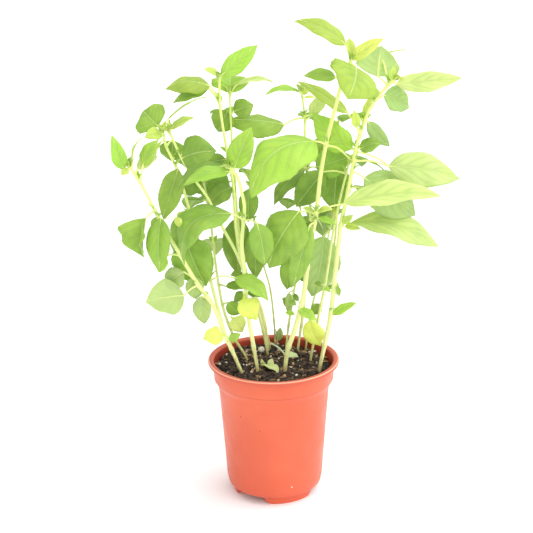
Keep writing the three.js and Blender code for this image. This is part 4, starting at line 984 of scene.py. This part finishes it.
def blade_model(name, along, across):
    """A flat blade in one layer, 1 m long and 1 m wide, from which every leaf is laid."""
    bpy.ops.mesh.primitive_grid_add(x_subdivisions=along, y_subdivisions=across, size=1)
    model = just_made(name)
    for corner in model.data.vertices:
        corner.co.x += 0.5
        corner.co.y *= 2
    return model


large_blade = blade_model("large_blade", 44, 18)
small_blade = blade_model("small_blade", 18, 10)

# No blade reaches past these corners.
BLADES_LOW = np.array(cad_box[0]) + 0.0006
BLADES_HIGH = np.array(cad_box[1]) - 0.0003


def turned_about(vector, axis, angles):
    """A vector turned about an axis by each of the angles."""
    v, k = np.array(vector), np.array(axis)
    c, s = np.cos(angles)[:, None], np.sin(angles)[:, None]
    return v * c + np.cross(k, v) * s + k * (k @ v) * (1 - c)


def laid_blade(model, name, row, root, shade, chance):
    """A leaf blade: the model laid along its midrib's bow, with its outline, fold and relief. For
    each corner, u runs from the foot to the tip, v from side to side, and a from the midrib out."""
    blade = model.copy()
    blade.data = model.data.copy()
    blade.name = name
    bpy.context.scene.collection.objects.link(blade)
    corners = np.array([corner.co for corner in model.data.vertices])
    u, v = corners[:, 0], -corners[:, 1]
    a = np.abs(v)
    foot, along, normal, side = blade_frame(row, root)
    length = row["blade"].length
    angles = math.radians(row["twist"]) * u
    n = turned_about(normal, along, angles)
    s = turned_about(side, along, angles)
    half = 0.5 * row["width"] * np.interp(u, *zip(*BLADE_OUTLINE))
    teeth = 1 + 0.022 * (np.abs((u * 11) % 1 - 0.5) * 2 - 0.5) * (a > 0.85)
    half = np.maximum(half * teeth, 0.45 * (1 - u) + 0.08)
    fold = math.radians(row["fold"])
    soft = np.sqrt(a * a + 0.004) - 0.063
    veins = (u - VEIN_LEAN * a ** 1.25) * SIDE_VEINS
    puff = np.abs(np.sin(np.pi * veins)) ** 0.7
    inner = np.clip(a / 0.2, 0, 1) * (1 - a ** 4) * np.sqrt(np.clip(np.sin(np.pi * u), 0, 1))
    phase = chance.uniform(0, 6.28)
    wave = np.sin(2 * np.pi * 2.3 * u + phase + 1.9 * np.sign(v)) * a ** 2
    relief = half * (0.045 * puff * inner + 0.22 * (a - a * a) - 0.12 * a ** 4 + 0.09 * wave)
    droop = -0.05 * length * np.clip(u - 0.6, 0, 1) ** 2 / 0.16
    sway = 0.035 * length * chance.uniform(-1, 1) * np.sin(np.pi * u)
    places = (np.array(foot) + np.outer(u, np.array(row["blade"]))
              + s * (v * half * math.cos(fold) + sway)[:, None]
              + n * (row["bow"] * 4 * u * (1 - u) + soft * half * math.sin(fold)
                     + relief + droop)[:, None])
    places = np.clip(places * MM, BLADES_LOW, BLADES_HIGH)
    blade.data.vertices.foreach_set("co", places.ravel())
    paint = blade.data.attributes.new("shade", "FLOAT_COLOR", "POINT")
    paint.data.foreach_set("color", np.tile(np.array([*shade, 1.0], np.float32), len(u)))
    return blade


def joined(name, pieces):
    """Pieces made one, which is the first of them."""
    select_only(pieces[0])
    for piece in pieces:
        piece.select_set(True)
    bpy.ops.object.join()
    pieces[0].name = name
    return pieces[0]


def finished_blades(name, blades, upper, under):
    """Blades joined to one piece, given their thickness below and the two skins."""
    piece = joined(name, blades)
    coat(piece, upper, under)
    thick = piece.modifiers.new("thickness", "SOLIDIFY")
    thick.thickness = BLADE_THICKNESS * MM
    thick.offset = -1
    thick.material_offset = 1
    bpy.ops.object.modifier_apply(modifier=thick.name)
    bpy.ops.object.shade_smooth()
    return piece


def axil_leaflets(row, chance):
    """Two tiny leaves in the axil of a large leaf, between its stalk and the stem."""
    out = row["stalk"].normalized()
    across = out.cross(Vector((0, 0, 1))).normalized()
    pair = []
    for way in (-1, 1):
        size = chance.uniform(5, 9.5)
        lean = (out * 0.6 + Vector((0, 0, 0.8)) + across * way * 0.5).normalized()
        pair.append(leaf(row["at"] + 1.5, lean * 1.8, lean * size, size * 0.5,
                         Vector((0, 0, 1)) - out * 0.6, 0.8, 18))
    return pair


def tip_bud(row, chance):
    """The bud at the end of a shoot: two pairs of small folded leaves that are still upright."""
    points = row["path"]
    up = (points[-1] - points[-2]).normalized()
    first = up.cross(Vector((0, 1, 0))).normalized()
    turn = chance.uniform(0, 1.5)
    bud = []
    for number in range(4):
        out = Matrix.Rotation(turn + number * math.pi / 2, 3, up) @ first
        size = 12 - 3.5 * (number % 2)
        lean = (up + out * (0.65 - 0.25 * (number % 2))).normalized()
        bud.append(leaf(points[-1].z, out * 0.8, lean * size, size * 0.5, up * 0.3 - out, 1, 22))
    return bud


def leaf_shade(letter, chance):
    """A leaf's colour, painted light and shade included: its kind's, a little lighter or deeper and
    a little yellower.
    """
    light = chance.uniform(0.88, 1.12)
    yellow = chance.uniform(0.94, 1.10)
    red, green, blue = SHADES[letter]
    return min(1, red * light * yellow), min(1, green * light), min(1, blue * light)


for number, (name, shoots) in enumerate(PLANTS.items()):
    chance = random.Random(100 + number)
    short = name.removeprefix("plant_")
    stem_lines, stalk_lines, blades, knobs = [], [], [], []
    for row in shoots:
        stem_lines.append(stem_line(row))
        knobs += [point_at_height(row["path"], height) for height in node_heights(row)]
        grown = list(zip(row["shades"], row["leaves"]))
        if row is shoots[0]:
            grown += [(letter, leaf(*item)) for letter, *item in SMALL_LEAVES.get(name, [])]
        for large in row["leaves"]:
            if large["blade"].length > LEAFLETS_FROM:
                grown += [("b", leaflet) for leaflet in axil_leaflets(large, chance)]
        grown += [("y", leaflet) for leaflet in tip_bud(row, chance)]
        for letter, item in grown:
            root = point_at_height(row["path"], item["at"])
            stalk_lines.append(stalk_line(item, root))
            model = large_blade if item["blade"].length > LARGE_BLADE else small_blade
            shade = leaf_shade(letter, chance)
            blades.append(laid_blade(model, "blade", item, root, shade, chance))
    stems = joined("stem_" + short, [drawn_tubes("stem", stem_lines, four_edged),
                                     drawn_tubes("stalks", stalk_lines, rounded)])
    corners = np.array([corner.co for corner in stems.data.vertices]) / MM
    near = np.min(np.linalg.norm(corners[:, None] - np.array(knobs)[None], axis=2), axis=1)
    for paint, values in (("knob", np.exp(-(near / 3.2) ** 2)),
                          ("green", np.full(len(corners), STEM_SHADE_AND_GREEN.get(name, 0.02)))):
        layer = stems.data.attributes.new(paint, "FLOAT", "POINT")
        layer.data.foreach_set("value", values.astype(np.float32))
    coat(stems, stem_skin)
    leaves = finished_blades("leaves_" + short, blades, green_upper, green_under)
    for piece in (stems, leaves):
        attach(piece, "root")
        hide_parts(name)


# ---- Turned and dropped leaves ----
# Low leaves that have yellowed but still hang beside their stems, a green leaf with its stalk that
# has dropped on the soil, a withered leaf in front, and the dry stub of a stem that died back.
TURNED_LEAVES = {
  "leaf_yellow_front": [[-27, -22, 214],
    leaf(0, [-1, -2.5, -2], [10, -2.5, -23], 22, [-0.2, -0.95, 0.3], 2, 8)],
  "leaf_yellow_left": [[-46.5, -28.5, 177],
    leaf(0, [-1.5, -1, 1], [-21, -2, -5], 17, [0, -0.95, 0.3], 2, 8)],
  "leaf_yellow_back": [[-43, 14.6, 179],
    leaf(0, [2, -1, 0], [11, 0, -17], 17, [0, -0.9, 0.4], 2, 8)],
  "leaf_yellow_right": [[42.2, 9, 176.5],
    leaf(0, [-6, -4, 0], [9.5, -5, -25], 22, [-0.2, -0.95, 0.3], 2, 8)],
}

DROPPED_LEAVES = {
  "leaf_fallen": [[-2, 46, 137],
    leaf(0, [13, -19, -3.4], [14, -10, -0.4], 13, [0, 0, 1], 1, 3)],
  "leaf_withered": [[-12, -4, 134],
    leaf(0, [1, -2, 0], [15, -14, -0.6], 12, [0, 0, 1], 2, 14)],
}

DRY_STUB = shoot(2, "", [[4, 49, 110], [4, 49.5, 132], [3, 50, 151]], [])

LOOSE_SHADES = {"leaf_yellow_front": (0.92, 1.0, 0.16), "leaf_yellow_left": (0.84, 0.96, 0.17),
                "leaf_yellow_back": (0.90, 0.98, 0.36), "leaf_yellow_right": (0.95, 1.0, 0.17),
                "leaf_fallen": (0.74, 0.84, 0.44), "leaf_withered": (0.80, 0.88, 0.38)}
STALK_SHADES = {"leaf_fallen": (1.0, 1.0, 0.80), "leaf_withered": (0.30, 0.18, 0.09)}
# Two torn lobes of the withered leaf that have curled up.
WITHERED_HORNS = [leaf(0, [7, -9, 0], [5, 1, 10], 6, [0.3, -0.9, 0.2], 1, 10),
                  leaf(0, [3, -4, 0], [-2, -3, 8], 5, [0, -0.9, 0.3], 1, 10)]

yellow_upper = leaf_material("yellow_leaf_upper", (0.98, 1.0, 0.30, 1), paler_share=0.30,
                             vein_share=0.15, vein_shade_share=0.05, through=0.30, raised=-1)
yellow_under = leaf_material("yellow_leaf_under", (0.95, 0.98, 0.35, 1), paler_share=0.30,
                             vein_share=0.25, vein_shade_share=0.05, through=0.30, raised=1)
pale_skin = leaf_material("dropped_leaf_upper", (0.74, 0.78, 0.50, 1), paler_share=0.30,
                          vein_share=0.30, vein_shade_share=0.15, through=0.15, raised=-1)
dry_skin = leaf_material("withered_leaf_upper", (0.74, 0.68, 0.36, 1), paler_share=0.30,
                         vein_share=0.50, vein_shade_share=0.3, through=0.15, raised=-1)


def loose_leaf(name, start, rows, upper, under, crumple, chance):
    """A leaf of one blade or more with its stalk, crumpled by some mm, that stands for its node."""
    root = Vector(start)
    shade = LOOSE_SHADES[name]
    blades = [laid_blade(large_blade, name, row, root, shade, chance) for row in rows]
    blade = finished_blades(name, blades, upper, under)
    blade_corners = len(blade.data.vertices)
    stalk = drawn_tubes(name + "_stalk", [stalk_line(rows[0], root)], rounded)
    coat(stalk, upper)
    piece = joined(name + "_blade", [blade, stalk])
    stalk_corners = len(piece.data.vertices) - blade_corners
    colours = [[*shade, 1.0]] * blade_corners
    colours += [[*STALK_SHADES.get(name, shade), 1.0]] * stalk_corners
    piece.data.attributes["shade"].data.foreach_set("color", np.array(colours, np.float32).ravel())
    for corner in piece.data.vertices:
        corner.co += noise.noise_vector(corner.co * 90) * crumple * MM
    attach(piece, "root")
    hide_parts(name)
    return piece


chance = random.Random(7)
noise.seed_set(1)
for name, (start, row) in TURNED_LEAVES.items():
    piece = loose_leaf(name, start, [row], yellow_upper, yellow_under, 2.6, chance)
start, row = DROPPED_LEAVES["leaf_fallen"]
fallen = loose_leaf("leaf_fallen", start, [row], pale_skin, pale_skin, 0.8, chance)
start, row = DROPPED_LEAVES["leaf_withered"]
rows = [row, *WITHERED_HORNS]
withered = loose_leaf("leaf_withered", start, rows, dry_skin, dry_skin, 3.2, chance)

dry_stem, tree, shader = new_material("dry_stem")
place = object_place(tree)
share = ramp(tree, speckle(tree, place, 300, 4, 0.6), 0.35, 0.65)
colour = mix(tree, share, (0.62, 0.45, 0.22, 1), (0.30, 0.17, 0.08, 1))
feed(tree, shader.inputs["Base Color"], colour)
shader.inputs["Roughness"].default_value = 0.8
bump(tree, shader, share, 0.5, 0.0004)
stub = drawn_tubes("stub_dry", [stem_line(DRY_STUB)], rounded)
coat(stub, dry_stem)
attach(stub, "root")
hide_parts("stem_stub")

for helper in (large_blade, small_blade, four_edged, rounded):
    bpy.data.objects.remove(helper)


# ---- Floor, light and camera ----
# A plain white floor under a bright, soft studio light, seen a little from above. Metres and
# degrees.
FLOOR_SIZE = 60
CAMERA_PLACE = (-0.005946, -1.205435, 0.626751)
CAMERA_TILT, CAMERA_ROLL = 71.99, -0.673

bpy.ops.mesh.primitive_plane_add(size=FLOOR_SIZE, location=(0, 0, 0))
floor = just_made("floor")
white, tree, shader = new_material("white_floor")
shader.inputs["Base Color"].default_value = (0.97, 0.97, 0.97, 1)
shader.inputs["Roughness"].default_value = 0.9
coat(floor, white)

world = bpy.data.worlds.new("studio")
bpy.context.scene.world = world
world.use_nodes = True
surround = world.node_tree.nodes["Background"]
surround.inputs["Color"].default_value = (1, 1, 1, 1)
surround.inputs["Strength"].default_value = 0.92


def soft_light(name, towards, spread, strength):
    """An even light from far away, from the direction of a point, blurred by its spread."""
    bpy.ops.object.light_add(type="SUN", location=towards)
    light = just_made(name)
    light.data.angle = math.radians(spread)
    light.data.energy = strength
    light.rotation_euler = Vector(towards).to_track_quat("Z", "Y").to_euler()


soft_light("key_light", (0.9, 0.25, 1.4), 75, 1.9)
soft_light("fill_light", (0.45, -1.0, 0.55), 80, 1.2)

bpy.ops.object.camera_add()
camera = bpy.context.object
camera.data.lens = 88.43
camera.data.sensor_width = 36
camera.matrix_world = (Matrix.Translation(CAMERA_PLACE)
                       @ Matrix.Rotation(math.radians(CAMERA_TILT), 4, "X")
                       @ Matrix.Rotation(math.radians(CAMERA_ROLL), 4, "Z"))
bpy.context.scene.camera = camera
bpy.context.scene.view_settings.view_transform = "Standard"
